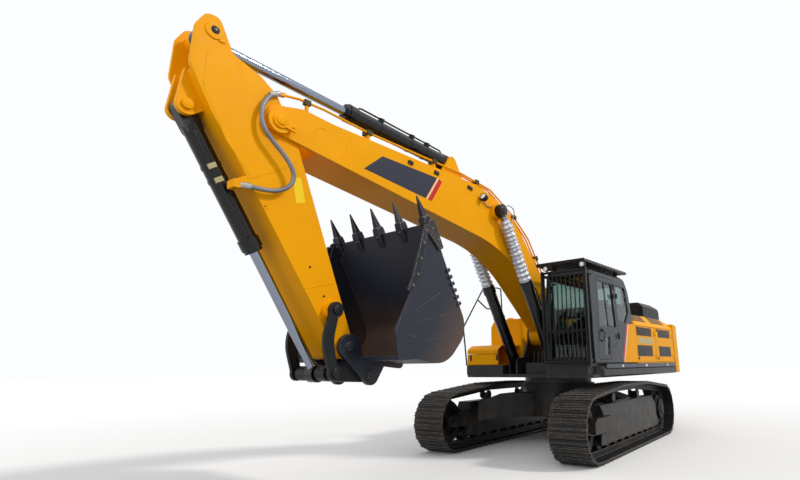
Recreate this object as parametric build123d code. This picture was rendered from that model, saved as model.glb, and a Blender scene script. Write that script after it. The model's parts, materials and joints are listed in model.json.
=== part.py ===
"""A crawler excavator of the fifty tonne class, as separate named pieces.

Millimetres, +X ahead of the upper structure, +Y to its left, +Z up. Everything is modelled about
the slewing axis, with z = 0 on the ground. The last step moves it so that the origin lies on the
ground under the middle of the whole machine's box.
"""
from build123d import *
import os
from math import atan2, cos, degrees, hypot, radians, sin, tan

os.makedirs("parts", exist_ok=True)

# ------------------------------------------------------------------ driving dimensions
# Whole machine
origin_ahead = 2167         # from the slewing axis to the middle of the machine's box
park_swing = 3.65           # degrees that the undercarriage is turned to the left of the upper
fit = 1.0                   # radial clearance of a pin in its bore
side_gap = 5.0              # sideways clearance between moving plates
seat_gap = 0.3              # between pieces that rest on each other but turn

# Undercarriage
track_gauge = 2740
shoe_width = 650
tumbler_base = 4380         # from idler axle to sprocket axle
tumbler_radius = 510        # axle to the outer face of the shoe plates
grouser_height = 30
shoe_thickness = 28
shoe_count = 56
link_height = 95
link_width = 50
link_inner = 45             # from the chain's middle to the near face of a link
crown_height = 1170         # outer face of the shoe plates over the carrier rollers
carrier_base = 1500
carrier_radius = 85
roller_count = 9
roller_radius = 105
roller_span = 3280          # from the first bottom roller to the last
frame_half_width = 190
skirt_depth = 45                # from the frame's side to the inner face of its skirt
slew_ring_radius = 760
slew_ring_base = 1050
slew_ring_split = 1185

# Upper structure
deck_base = 1320
deck_thickness = 60
half_width = 1610
sill_height = 240
tail_radius = 3730
girder_y = 336              # inner face of each boom girder
girder_thickness = 40
housing_front = -450
housing_rear = -2960
housing_top = 2590
housing_shoulder = 2350     # where the side panels end and the sloped strip starts
shoulder_inset = 210
skin = 40
fairing_skin = 22

# Cab
cab_right = 650
cab_floor = 1575
cab_roof = 3300
cab_wall = 50
glass = 8
door_hinge_x = 460
door_gap = 8

# Working equipment: pins, each as its own pair of values in the frame of the piece that holds it
boom_foot = (374, 2165)             # machine
boom_length = 7010
boom_angle = 18.34
boom_half = 310
boom_ram_foot = (960, 1600)         # machine
boom_ram_eye = (2836, 1305)         # boom
boom_ram_y = 444
arm_ram_foot = (4000, 1660)         # boom
arm_length = 2814                   # arm pin to bucket pin
arm_angle = -114.7
fork_plate = 43                     # each plate of the boom's fork, which holds the arm between them
arm_half = boom_half - fork_plate - side_gap
arm_ram_eye = (-1048, 396)          # arm
bucket_ram_foot = (-286, 878)       # arm
lever_pivot = (2318, 59)            # arm
lever_tip = (3002, 343)             # arm
bucket_angle = 104.7                # bucket pin to the teeth, from level
bucket_link_pin = (-250, 437)       # bucket
bucket_half = 1010
tooth_reach = 2027

# Cylinders: bore tube radius, rod radius, tube length from pin to gland face
boom_ram = (112, 62, 1772)
arm_ram = (118, 66, 2230)
bucket_ram = (102, 56, 1694)


# ------------------------------------------------------------------ drawing helpers
def outline(rows):
    """A closed outline from rows of (x, z, corner radius)."""
    points = [(x, z) for x, z, _ in rows]
    return make_face(FilletPolyline(*points, radius=[r for *_, r in rows], close=True).edges())


def disc(point, radius):
    return Pos(*point) * Circle(radius)


def hull(*rows):
    """The tangent outline round discs, from rows of (point, radius)."""
    return make_hull([edge for point, radius in rows for edge in disc(point, radius).edges()])


def across(sketch, y_low, y_high):
    """A sketch of the XZ plane, made solid from y_low to y_high."""
    return Pos(0, y_low, 0) * extrude(Plane.XZ * sketch, amount=y_high - y_low, dir=(0, 1, 0))


def along(sketch, x_low, x_high):
    """A sketch of the YZ plane, made solid from x_low to x_high."""
    return Pos(x_low, 0, 0) * extrude(Plane.YZ * sketch, amount=x_high - x_low, dir=(1, 0, 0))


def upright(sketch, z_low, z_high):
    """A sketch of the XY plane, made solid from z_low to z_high."""
    return Pos(0, 0, z_low) * extrude(sketch, amount=z_high - z_low, dir=(0, 0, 1))


def block(x_low, x_high, y_low, y_high, z_low, z_high):
    return upright(Polygon((x_low, y_low), (x_high, y_low), (x_high, y_high), (x_low, y_high), align=None),
                   z_low, z_high)


def other_side(shape):
    return mirror(shape, about=Plane.XZ)


def both_sides(shape):
    return shape + other_side(shape)


def turned(point, angle):
    """A point (x, z) turned by an angle in degrees, x towards z."""
    turn = radians(angle)
    return (point[0] * cos(turn) - point[1] * sin(turn), point[0] * sin(turn) + point[1] * cos(turn))


def placed(shape, point, angle):
    """A shape drawn about its own pin, set at a point (x, z) with its x axis raised by an angle."""
    return Pos(point[0], 0, point[1]) * Rot(0, -angle, 0) * shape


def shifted(start, step):
    return (start[0] + step[0], start[1] + step[1])


def aim(start, end):
    """Length and angle in degrees from one point (x, z) to another."""
    return hypot(end[0] - start[0], end[1] - start[1]), degrees(atan2(end[1] - start[1], end[0] - start[0]))


# Where the pins of the working equipment lie on the machine
arm_pin = shifted(boom_foot, turned((boom_length, 0), boom_angle))
bucket_pin = shifted(arm_pin, turned((arm_length, 0), arm_angle))


def on_boom(point):
    return shifted(boom_foot, turned(point, boom_angle))


def on_arm(point):
    return shifted(arm_pin, turned(point, arm_angle))


def on_bucket(point):
    return shifted(bucket_pin, turned(point, bucket_angle))


nodes = {}


# ------------------------------------------------------------------ undercarriage
tumbler_x = tumbler_base / 2
tumbler_z = tumbler_radius + grouser_height
link_face = shoe_thickness + link_height        # shoe plate face to the running face of the links


def chain_path():
    """The closed line that the outer faces of the shoe plates follow."""
    bend = 150
    return hull(((-tumbler_x, tumbler_z), tumbler_radius), ((tumbler_x, tumbler_z), tumbler_radius),
                ((-carrier_base / 2, crown_height - bend), bend),
                ((carrier_base / 2, crown_height - bend), bend)).wire()


half_pitch = chain_path().length / shoe_count / 2
carrier_z = crown_height - link_face - carrier_radius - 6      # clear of the links' straight chords
carrier_axle = 40
carrier_neck = 60               # half width of the post that holds a carrier roller
tread_radius = tumbler_radius * cos(half_pitch / tumbler_radius) - link_face - seat_gap
chain_joints = [chain_path().position_at(i / shoe_count) for i in range(shoe_count)]


def chain_outline(rows):
    """A loop with the same profile on each shoe, from rows of (share of the shoe, height)."""
    points = []
    for start, end in zip(chain_joints, chain_joints[1:] + chain_joints[:1]):
        step = end - start
        out = Vector(step.Y, -step.X).normalized()
        if out.dot(start - Vector(0, tumbler_z)) < 0:
            out = -out
        points += [tuple(start + step * share + out * height)[:2] for share, height in rows]
    return Polygon(*points, align=None)


def track():
    # share of the shoe, height over its plate
    shoe_profile = [(0.04, 0), (0.10, grouser_height), (0.18, 0), (0.46, 0), (0.53, grouser_height * 0.8),
                    (0.60, 0), (0.82, 0), (0.89, grouser_height * 0.8), (0.96, 0)]
    plate_back = chain_outline([(0, -shoe_thickness)])
    shoes = across(chain_outline(shoe_profile) - plate_back, -shoe_width / 2, shoe_width / 2)
    link_loop = plate_back - chain_outline([(0, -link_face)])
    return shoes + both_sides(across(link_loop, link_inner, link_inner + link_width))


def idler():
    flange = tread_radius + 32
    half_rim = link_inner + link_width
    # distance along the axle, radius
    rim = Polygon((-half_rim, 250), (-half_rim, tread_radius), (-link_inner + 6, tread_radius),
                  (-link_inner + 14, flange), (link_inner - 14, flange), (link_inner - 6, tread_radius),
                  (half_rim, tread_radius), (half_rim, 250), (35, 235), (35, 130), (half_rim + 12, 120),
                  (half_rim + 12, 60), (-half_rim - 12, 60), (-half_rim - 12, 120), (-35, 130), (-35, 235),
                  align=None)
    wheel = Rot(0, 0, 90) * revolve(rim, Axis.X)
    axle = across(disc((0, 0), 60 - seat_gap), -frame_half_width + 24, frame_half_width - 24)
    return Pos(tumbler_x, 0, tumbler_z) * (wheel + axle)


def sprocket():
    teeth = 25
    tip, root = tumbler_radius - shoe_thickness - 40, tread_radius - 8
    # share of the tooth pitch, radius
    rows = [(0.0, root), (0.25, root), (0.42, tip), (0.58, tip), (0.75, root)]
    points = [turned((radius, 0), 360 / teeth * (i + share)) for i in range(teeth) for share, radius in rows]
    half_rim = link_inner - 8
    ring = across(Polygon(*points, align=None), -half_rim, half_rim)
    hub = across(disc((0, 0), 300), -frame_half_width + 30, half_rim + 70)
    cover = across(disc((0, 0), 215), half_rim + 70, half_rim + 135)
    boss = across(disc((0, 0), 120), half_rim + 135, half_rim + 160)
    return Pos(-tumbler_x, 0, tumbler_z) * (ring + hub + cover + boss)


def track_frame():
    """Drawn for the left side, about the middle of its track."""
    width, low, high = frame_half_width, 400, 860
    section = Polygon((-width, low), (width, low), (width, 690), (width - 70, high), (-width + 70, high),
                      (-width, 690), align=None)
    rear, front = -tumbler_x, tumbler_x         # the axles at the frame's two ends
    beam = along(section, rear + 550, front - 630)
    skirt_x = roller_span / 2 + 130
    skirt = outline([(-skirt_x, 238, 30), (skirt_x, 238, 30), (skirt_x - 60, 430, 0), (-skirt_x + 60, 430, 0)])
    skirts = both_sides(across(skirt, width - skirt_depth, width - 5))
    fork = outline([(front - 690, 420, 0), (front - 110, 430, 60), (front + 140, 470, 60), (front + 140, 620, 60),
                    (front - 110, 660, 40), (front - 690, 700, 0)])
    forks = both_sides(across(fork, width - 65, width - 5)) - across(disc((tumbler_x, tumbler_z), 60), -width, width)
    tail = outline([(rear + 590, 420, 0), (rear + 590, 760, 0), (rear + 290, 780, 60), (rear - 230, 720, 90),
                    (rear - 230, 380, 90), (rear + 290, 330, 60)])
    motor_plate = across(tail, -width - 5, -width + 30 - seat_gap)
    guard = outline([(front - 810, 470, 25), (front + 40, 470, 25), (front + 40, 640, 25), (front - 70, 700, 25),
                     (front - 810, 700, 25)])
    box = across(guard, width - 5, width + 95)
    posts = [block(x - 45, x + 45, -carrier_neck, carrier_neck, high - 5, carrier_z - carrier_axle - seat_gap)
             for x in (-carrier_base / 2, carrier_base / 2)]
    return beam + skirts + forks + motor_plate + box + posts


def rollers():
    """The rollers of one track: bottom rollers under its frame and carrier rollers on top."""
    half = link_inner + link_width
    low_z = grouser_height + link_face + roller_radius + seat_gap
    step = roller_span / (roller_count - 1)
    wheel = across(disc((0, 0), roller_radius), -half, half) - across(disc((0, 0), roller_radius), -20, 20)
    wheel += across(disc((0, 0), roller_radius - 30), -20, 20)
    axle_half = frame_half_width - skirt_depth - seat_gap
    wheel += across(disc((0, 0), 38), -axle_half, axle_half)
    low = [Pos(-roller_span / 2 + i * step, 0, low_z) * wheel for i in range(roller_count)]
    neck = carrier_neck + seat_gap
    carrier = across(disc((0, 0), carrier_radius), -half, half) - across(disc((0, 0), carrier_radius), -neck, neck)
    carrier += across(disc((0, 0), carrier_axle), -neck - 1, neck + 1)
    top = [Pos(x, 0, carrier_z) * carrier for x in (-carrier_base / 2, carrier_base / 2)]
    return Compound(children=low + top)


def car_body():
    inner = track_gauge / 2 - frame_half_width
    drum = upright(Circle(slew_ring_radius - 20), 560, slew_ring_base)
    leg = Polygon((150, 0), (520, 0), (1330, inner), (620, inner), align=None)
    legs = both_sides(upright(leg, 400, 1000))
    legs += mirror(legs, about=Plane.YZ)
    # across the machine: the legs slope down to the track frames and rise between them
    section = Polygon((-inner, 840), (-800, 1000), (800, 1000), (inner, 840), (inner, 470), (820, 540),
                      (-820, 540), (-inner, 470), align=None)
    legs = legs & along(section, -1500, 1500)
    centre = upright(RectangleRounded(1180, 1500, 200), 540, 900)
    swivel = upright(Circle(190), 440, 560)
    return drum + legs + centre + swivel


def slew_ring():
    ring = Circle(slew_ring_radius) - Circle(slew_ring_radius - 190)
    return upright(ring, slew_ring_base, slew_ring_split)


nodes["car_body"] = car_body()
nodes["slew_ring"] = slew_ring()
for side, y in (("left", 1), ("right", -1)):
    middle = track_gauge / 2
    pieces = {"track": track(), "idler": idler(), "sprocket": sprocket(), "track_frame": track_frame(),
              "rollers": rollers()}
    for name, piece in pieces.items():
        piece = Pos(0, middle, 0) * piece
        nodes[f"{side}_{name}"] = piece if y > 0 else other_side(piece)
for name in nodes:
    nodes[name] = Rot(0, 0, park_swing) * nodes[name]


# ------------------------------------------------------------------ upper structure
deck_top = deck_base + deck_thickness
sill_top = deck_base + sill_height
ear_y = boom_ram_y + 66                   # inner face of the outer ear of a boom cylinder's foot


def main_frame():
    foot_x, foot_z = boom_foot
    ram_x, ram_z = boom_ram_foot
    plan = outline([(-2980, -1560, 60), (1080, -1560, 120), (1260, -1400, 60), (1260, 620, 30),
                    (1640, 660, 60), (1640, 1560, 120), (-2980, 1560, 60)])
    deck = upright(plan, deck_base, deck_top)
    race = upright(Circle(slew_ring_radius - 60) - Circle(slew_ring_radius - 210),
                   slew_ring_split + seat_gap, deck_base)
    # across the machine, from the outer face inwards
    sill = Polygon((half_width, deck_base + 30), (half_width, deck_base + 130), (half_width - 85, sill_top),
                   (half_width - 160, sill_top), (half_width - 160, deck_base), (half_width - 40, deck_base),
                   align=None)
    left_sill = along(sill, -3010, 1330) - Pos(1330, half_width, deck_base) * Rot(0, 0, 45) * Box(
        160, 260, 600)
    right_sill = other_side(along(sill, -3010, 1210)) - Pos(1210, -half_width, deck_base) * Rot(
        0, 0, -45) * Box(160, 260, 600)
    side = outline([(-2970, deck_top - 5, 0), (ram_x + 105, deck_top - 5, 0), (ram_x + 105, ram_z + 105, 100),
                    (ram_x - 160, ram_z + 112, 90), (foot_x + 235, foot_z - 110, 160), (foot_x + 190, foot_z + 215, 190),
                    (foot_x - 215, foot_z + 215, 190), (-420, 1540, 120), (-2970, 1500, 0)])
    girders = both_sides(across(side, girder_y, girder_y + girder_thickness))
    ear = outline([(ram_x - 150, deck_top - 5, 0), (ram_x + 105, deck_top - 5, 0), (ram_x + 105, ram_z + 105, 100),
                   (ram_x - 105, ram_z + 105, 100)])
    ears = both_sides(across(ear, ear_y, ear_y + girder_thickness))
    foot_pin = across(disc(boom_foot, 70), -girder_y - 60, girder_y + 60)
    ram_pins = both_sides(across(disc(boom_ram_foot, 60), girder_y + girder_thickness - 2, ear_y + 60))
    cross = across(Polygon((-300, deck_top), (-260, deck_top), (-160, 1740), (-200, 1740), align=None),
                   -girder_y - 2, girder_y + 2)
    platform = block(-300, 1600, 640, half_width - 130, deck_top, cab_floor - 60)
    platform -= block(-240, 1540, 700, half_width - 190, deck_top, cab_floor)
    floor = block(-300, 1600, 640, half_width - 90, cab_floor - 60, cab_floor)
    tool_step = block(housing_front + side_gap, 1225, -half_width + 90, -590, deck_top, sill_top)
    return (deck + race + left_sill + right_sill + girders + ears + foot_pin + ram_pins + cross + platform
            + floor + tool_step)


def counterweight():
    front, low, high = housing_rear - 50, deck_base + 10, 2480
    corner = half_width - 60
    tail_x = -(tail_radius ** 2 - corner ** 2) ** 0.5
    plan = make_face([Line((front, -half_width), (front, half_width)), Line((front, half_width), (tail_x + 110, half_width)),
                      Line((tail_x + 110, half_width), (tail_x, corner)),
                      ThreePointArc((tail_x, corner), (-tail_radius, 0), (tail_x, -corner)),
                      Line((tail_x, -corner), (tail_x + 110, -half_width)),
                      Line((tail_x + 110, -half_width), (front, -half_width))])
    body = upright(plan, low, high)
    side = outline([(front, low, 0), (-3480, low, 150), (-tail_radius - 5, low + 300, 200),
                    (-tail_radius - 5, 2210, 160), (-3560, high - 60, 160), (front, high, 0)])
    body = body & across(side, -half_width, half_width)
    eye = hull(((-3300, high + 62), 58), ((-3380, high - 60), 60), ((-3220, high - 60), 60)) - disc(
        (-3300, high + 62), lifting_bore / 2)
    return body + both_sides(across(eye, 830, 880))


lifting_bore = 60
nodes["main_frame"] = main_frame()
nodes["counterweight"] = counterweight()

def cab_side(inset=0):
    """The cab's side view, drawn in by an inset."""
    i = inset
    return outline([(1560 - i, cab_floor + i, 40), (1595 - i, 2150, 300), (1500 - i, cab_roof - 110, 60),
                    (1400 - i, cab_roof - i, 90), (-120 + i, cab_roof - i, 160), (-300 + i, 3000, 200),
                    (-330 + i, 2680, 300), (-330 + i, cab_floor + i, 20)])


def fairing_outline():
    """The body-coloured panel that laps over the cab's lower rear corner."""
    return outline([(285, sill_top + 20, 0), (-45, 2330, 30), (-430, housing_shoulder, 0),
                    (housing_front - 5, housing_shoulder, 0), (housing_front - 5, sill_top + 20, 0)])


cab_slope = 60                  # how far the cab's sides lean in at the roof
crease = 2                      # a cross-section stands this far past the flat top that it rounds


def cab_section(inset=0):
    """The cab's outline seen from ahead, drawn in by an inset."""
    i = inset
    left, right = half_width - i, cab_right + i
    low, top = cab_floor + i - crease, cab_roof - i + crease
    return outline([(left, low, 20), (left, 2300, 300), (left - cab_slope, top, 110), (right + 30, top, 110),
                    (right, 2300, 300), (right, low, 20)])


def door_outline():
    return outline([(1395, 1640, 60), (1360, 2200, 500), (1222, 3160, 50), (door_hinge_x, 3160, 50),
                    (door_hinge_x, 1960, 150), (800, 1860, 160), (850, 1640, 40)])


def door_windows(shrink=0):
    """The door's openings: the big pane with its slider, and the low upright one."""
    s = shrink
    upper = outline([(1295 - s, 2225 + s, 50), (1168 - s, 3080 - s, 50), (530 + s, 3080 - s, 50),
                     (540 + s, 2225 + s, 50)])
    lower = outline([(1120 - s, 1715 + s, 30), (1075 - s, 2040 - s, 30), (850 + s, 2040 - s, 30),
                     (900 + s, 1715 + s, 30)])
    return [upper, lower]


def rear_window(shrink=0):
    s = shrink
    return outline([(400 - s, 2400 + s, 40), (340 - s, 3080 - s, 50), (-150 + s, 3060 - s, 60),
                    (-190 + s, 2560 + s, 60), (60 + s, 2330 + s, 60)])


def front_window(shrink=0):
    """Seen from ahead: (y, z)."""
    s = shrink
    return [outline([(1520 - s, 2150 + s, 60), (1490 - s, 3170 - s, 60), (740 + s, 3170 - s, 60), (720 + s, 2150 + s, 60)]),
            outline([(1520 - s, 1680 + s, 60), (1520 - s, 2100 - s, 40), (720 + s, 2100 - s, 40), (720 + s, 1680 + s, 60)])]


def back_window(shrink=0):
    s = shrink
    return outline([(1450 - s, 2640 + s, 60), (1430 - s, 3120 - s, 60), (800 + s, 3120 - s, 60), (790 + s, 2640 + s, 60)])


def right_window(shrink=0):
    s = shrink
    return outline([(1480 - s, 1950 + s, 60), (1400 - s, 3120 - s, 60), (-100 + s, 3120 - s, 80), (-180 + s, 2640 + s, 80)])


def cab_skin(inset):
    """The solid inside one face of the cab's wall."""
    return across(cab_side(inset), 0, 2000) & along(cab_section(inset), -1000, 2500)


cab_mid_y = (cab_right + half_width) / 2
wall_inner = half_width - cab_wall


def cab_shell():
    shell = cab_skin(0) - cab_skin(cab_wall)
    shell -= across(offset(door_outline(), door_gap), cab_mid_y, half_width + 50)
    shell -= across(offset(fairing_outline(), side_gap), half_width - fairing_skin - side_gap, half_width + 50)
    shell -= across(rear_window(), cab_mid_y, half_width + 50)
    shell -= across(right_window(), cab_right - 50, cab_right + 200)
    for pane in front_window():
        shell -= along(pane, 1250, 1800)
    shell -= along(back_window(), -600, 0)
    return shell


def cab_glass():
    """Panes that fill the cab's window openings, flush in the middle of its wall."""
    lean = cab_skin((cab_wall - glass) / 2) - cab_skin((cab_wall + glass) / 2)
    panes = [lean & across(rear_window(seat_gap), cab_mid_y, half_width + 50),
             lean & across(right_window(seat_gap), cab_right - 50, cab_right + 200),
             lean & along(back_window(seat_gap), -600, 0)]
    panes += [lean & along(pane, 1250, 1800) for pane in front_window(seat_gap)]
    return Compound(children=[solid for pane in panes for solid in pane.solids()])


def cab_door():
    panel = (cab_skin(0) - cab_skin(cab_wall)) & across(door_outline(), cab_mid_y, half_width + 50)
    for window in door_windows():
        panel -= across(window, cab_mid_y, half_width + 50)
    barrel = 17
    for z in (2060, 2840):
        panel += Pos(door_hinge_x, half_width + barrel + 3, z) * Cylinder(barrel, 90)
        panel += block(door_hinge_x + 1, door_hinge_x + 110, half_width - 34, half_width + 12, z - 40, z + 40)
    handle = block(1090, 1230, half_width - 12, half_width + 26, 2130, 2175)
    return panel + handle


def cab_door_glass():
    lean = cab_skin((cab_wall - glass) / 2) - cab_skin((cab_wall + glass) / 2)
    panes = [lean & across(window, cab_mid_y, half_width + 50) for window in door_windows(seat_gap)]
    return Compound(children=[solid for pane in panes for solid in pane.solids()])


def cab_guards():
    """Front guard of upright bars, and the slatted guard over the roof."""
    bar = 11
    face_x = 1690
    low, high, mid = 1590, 3240, 2140
    left, right = 1570, 690
    front = Part()
    for i in range(10):
        y = right + 40 + i * (left - right - 80) / 9
        front += Pos(face_x, y, (low + high) / 2) * Cylinder(bar, high - low)
    for z in (low + 12, mid, high - 12):
        front += block(face_x - 14, face_x + 14, right, left, z - 20, z + 20)
    for y in (right, left):
        front += block(face_x - 25, face_x + 25, y - 22, y + 22, low - 20, high + 20)
        for z in (low + 30, 3180):
            front += block(1400, face_x, y - 18, y + 18, z - 25, z + 25)
    return front - cab_skin(0)


roof_guard_base = 3360
slat_lift = 6                   # the guard's slats lie this far over the underside of its rails


def roof_guard():
    z, rise = roof_guard_base, 45
    frame = Part()
    for y in (620, 1560):
        frame += block(-260, 1730, y - 30, y + 30, z, z + rise)
    slats = 15
    for i in range(slats):
        x = -235 + i * (1960 - 20) / (slats - 1)
        frame += block(x - 25, x + 25, 600, 1580, z + slat_lift, z + rise + 14)
    for x in (-120, 1380):
        for y in (800, 1400):
            frame += block(x - 30, x + 30, y - 30, y + 30, cab_roof - 60, z + 20)
    return frame - cab_skin(0)


def cab_lamps():
    """Two work lamps: the right one hangs from the guard's front slat, the left one from its rail."""
    radius, depth = 52, 66
    shape = Part()
    for y, lift in ((817, slat_lift), (1560, 0)):
        body = Cylinder(radius, depth) - Pos(0, 0, depth / 2) * Cylinder(radius - 7, 14)
        shape += Pos(1756, y, 3296) * Rot(0, 90, 0) * body
        shape += block(1710, 1728, y - 18, y + 18, 3290, roof_guard_base + lift - seat_gap)
    return shape


def mirror_rail():
    """The upright grab rail at the cab's right front corner."""
    x, y, bar = 1150, cab_right - 62, 15
    low, high = 1960, 3090
    path = FilletPolyline((x, cab_right + 60, low), (x, y, low), (x, y, high), (x, cab_right + 60, high), radius=45)
    return sweep(Plane(origin=path @ 0, z_dir=path % 0) * Circle(bar), path) - cab_skin(-seat_gap)


def seat():
    y = cab_mid_y - 20
    base = block(150, 620, y - 220, y + 220, cab_floor + cab_wall, 1960)
    cushion = extrude(Plane.XZ * outline([(90, 1960.3, 40), (660, 1960.3, 60), (680, 2090, 60), (90, 2070, 40)]),
                      amount=250, both=True)
    back = extrude(Plane.XZ * outline([(60, 2050, 40), (190, 2075, 40), (60, 2700, 50), (-60, 2680, 50)]),
                   amount=240, both=True)
    rest = extrude(Plane.XZ * outline([(40, 2710, 30), (-50, 2705, 30), (-80, 2860, 30), (10, 2870, 30)]),
                   amount=130, both=True)
    stalk = extrude(Plane.XZ * outline([(0, 2680, 0), (-15, 2680, 0), (-30, 2730, 0), (-15, 2730, 0)]),
                    amount=60, both=True)
    soft = Pos(0, y, 0) * (cushion + back + stalk + rest)
    return base + soft


def console():
    """Side consoles with their levers, the travel pedals and the monitor."""
    shape = Part()
    y = cab_mid_y - 20
    for sign in (1, -1):
        shape += block(230, 760, y + sign * 322 - 64, y + sign * 322 + 64, cab_floor + cab_wall, 2180)
        shape += Pos(700, y + sign * 322, 2250) * Cylinder(16, 180)
        shape += Pos(700, y + sign * 322, 2350) * Sphere(38)
        shape += block(1130, 1250, y + sign * 90 - 50, y + sign * 90 + 50, cab_floor + cab_wall, 1660)
        shape += Pos(1200, y + sign * 90, 1830) * Rot(0, -8, 0) * Cylinder(13, 380)
    shape += block(1330, 1360, cab_right + 90, cab_right + 310, 2180, 2360)
    shape += block(1335, 1355, cab_right + 90, cab_right + 130, cab_floor + cab_wall, 2200)
    return shape


nodes["cab_shell"] = cab_shell()
nodes["cab_glass"] = cab_glass()
nodes["cab_door"] = cab_door()
nodes["cab_door_glass"] = cab_door_glass()
nodes["cab_front_guard"] = cab_guards()
nodes["cab_roof_guard"] = roof_guard()
nodes["cab_lamps"] = cab_lamps()
nodes["mirror_rail"] = mirror_rail()
nodes["seat"] = seat()
nodes["console"] = console()


# ------------------------------------------------------------------ engine housing and its doors
def housing_side(inset=0):
    i = inset
    low = sill_top - 3 * i
    return outline([(housing_front - i, low, 0), (housing_front - i, housing_shoulder + 15, 60),
                    (-930 - i, housing_top - i, 80), (-2640 + i, housing_top - i, 160),
                    (housing_rear, 2490 - i, 60), (housing_rear, low, 0)])


def housing_section(inset=0):
    half = half_width - inset
    top = housing_top - inset + crease
    slope = half - shoulder_inset
    low = sill_top - 3 * inset - crease
    return outline([(half, low, 0), (half, housing_shoulder, 40), (slope, top, 40), (-slope, top, 40),
                    (-half, housing_shoulder, 40), (-half, low, 0)])


def housing_skin(inset):
    return across(housing_side(inset), -half_width, half_width) & along(housing_section(inset), -3200, 0)


# hinged panels in the housing's sides: name, side, rear edge, front edge, rear and front end of its vents (x)
service_doors = [("left_front_door", 1, -1640, -475, -1410, -520),
                 ("left_rear_door", 1, -2920, -1700, -2690, -1870),
                 ("right_service_door", -1, -2920, -1500, -2690, -1720)]
door_low, door_high = sill_top + 25, housing_shoulder - 30
vent_rows = [(1700, 1925), (2125, 2300)]        # lower and upper edge
hinge_out = 14                                  # hinge line outside the panels
hinge_radius = 12
hinge_heights = (door_low + 120, door_high - 120)


def vents(rear, front):
    """The louvre openings of one door, as rectangles in its side view."""
    return [Pos((rear + front) / 2, (low + high) / 2) * RectangleRounded(front - rear, high - low, 25)
            for low, high in vent_rows]


def louvres(rear, front):
    """Slanted slats across one door's openings, from edge to edge."""
    slats = []
    for low, high in vent_rows:
        count = 5
        for i in range(count):
            z = low + (i + 0.5) * (high - low) / count
            slat = Polygon((half_width - 34, z + 14), (half_width - 12, z - 10), (half_width - 6, z - 10),
                           (half_width - 28, z + 14), align=None)
            slats.append(along(slat, rear - 2, front + 2))
    return Part() + slats


def service_door(side, rear, front, vent_rear, vent_front):
    region = Pos((rear + front) / 2, (door_low + door_high) / 2) * RectangleRounded(front - rear, door_high - door_low, 30)
    door = across(region, half_width - skin, half_width)
    for vent in vents(vent_rear, vent_front):
        door -= across(vent, half_width - skin, half_width)
    door += louvres(vent_rear, vent_front)
    for z in hinge_heights:
        door += Pos(rear, half_width + hinge_out, z) * Cylinder(hinge_radius, 110)
        door += block(rear, rear + 60, half_width - 2, half_width + hinge_out, z - 45, z + 45)
    return door if side > 0 else other_side(door)


def engine_housing():
    shell = housing_skin(0) - housing_skin(skin)
    shell = shell - block(-3200, housing_rear + 60, -1500, 1500, 1000, 2400)
    for _, side, rear, front, _, _ in service_doors:
        gap = door_gap
        hole = block(rear - gap, front + gap, half_width - skin - 5, half_width + 5, door_low - gap, door_high + gap)
        leaf_end = rear - hinge_radius - seat_gap
        leaves = [block(leaf_end - 24, leaf_end, half_width - 2, half_width + hinge_out, z - 45, z + 45)
                  for z in hinge_heights]
        shell = shell - (hole if side > 0 else other_side(hole)) + [
            leaf if side > 0 else other_side(leaf) for leaf in leaves]
    shell -= block(hood_rear + 60, hood_front - 60, -hood_half + 60, hood_half - 60, 2400, 2700)
    return shell + across(fairing_outline(), half_width - fairing_skin, half_width)


hood_front, hood_rear, hood_half = -1780, -2900, 1340
hood_height = 370


def engine_hood():
    """The raised hood, a hollow pressing with chamfered upper edges."""
    side = outline([(hood_front, housing_top + seat_gap, 0), (hood_front - 20, housing_top + hood_height, 60),
                    (hood_rear + 260, housing_top + hood_height - 20, 200), (hood_rear, housing_top + 200, 120),
                    (hood_rear, housing_top + seat_gap, 0)])
    section = outline([(hood_half, housing_top + seat_gap, 0), (hood_half, housing_top + 260, 60),
                       (hood_half - 130, housing_top + hood_height, 90), (-hood_half + 130, housing_top + hood_height, 90),
                       (-hood_half, housing_top + 260, 60), (-hood_half, housing_top + seat_gap, 0)])
    body = across(side, -hood_half, hood_half) & along(section, hood_rear, hood_front)
    hollow = Pos(0, 0, -12) * (across(offset(side, -12), -hood_half + 12, hood_half - 12)
                               & along(offset(section, -12), hood_rear + 12, hood_front - 12))
    body -= hollow
    opening = Pos(0, housing_top + 190) * RectangleRounded(1900, 200, 30)
    body -= along(opening, hood_front - 60, hood_front + 10)
    bars = Part() + [block(hood_front - 30, hood_front - 5, -955, 955, housing_top + z, housing_top + z + 12)
                     for z in (125, 165, 205, 245)]
    return body + bars


def engine_block():
    low = deck_top + 170
    mounts = [block(x, x + 120, y - 40, y + 40, deck_top, low) for x in (-2250, -1450) for y in (-480, 560)]
    return block(-2350, -1250, -520, 620, low, low + 740) + mounts


side_box_y = 1500               # outer face of the fuel tank and the tool box
tank_front, tank_top = 370, 2560
lid_hinge_radius = 11
lid_hinge_x = tank_front + seat_gap + lid_hinge_radius


def fuel_tank():
    rear, front, outer, inner = housing_front + side_gap, tank_front, -side_box_y, -640
    plan = outline([(rear, outer, 40), (front, outer, 40), (front, inner, 60), (rear, inner, 60)])
    body = upright(plan, sill_top, tank_top)
    section = outline([(outer, sill_top, 0), (outer, 2365, 60), (outer + 125, tank_top, 60), (inner, tank_top, 40),
                       (inner, sill_top, 0)])
    body &= along(section, rear, front)
    cap = Pos(0, -1180, tank_top + 30) * Cylinder(75, 60)
    return body + cap


tool_split = 1790
tool_front, tool_rear, tool_top = 1225, 395, 1970


def tool_profile(inset=0):
    i = inset
    return outline([(tool_rear + i, sill_top + i, 0), (tool_front - i, sill_top + i, 30),
                    (tool_front - i, tool_top - 90, 60), (tool_front - 155 - i, tool_top - i, 80),
                    (tool_rear + i, tool_top - i, 0)])


def tool_box_solid():
    wall = 14
    outer, inner = -side_box_y, -590
    return across(tool_profile(), outer, inner) - across(tool_profile(wall), outer + wall, inner - wall)


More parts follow.
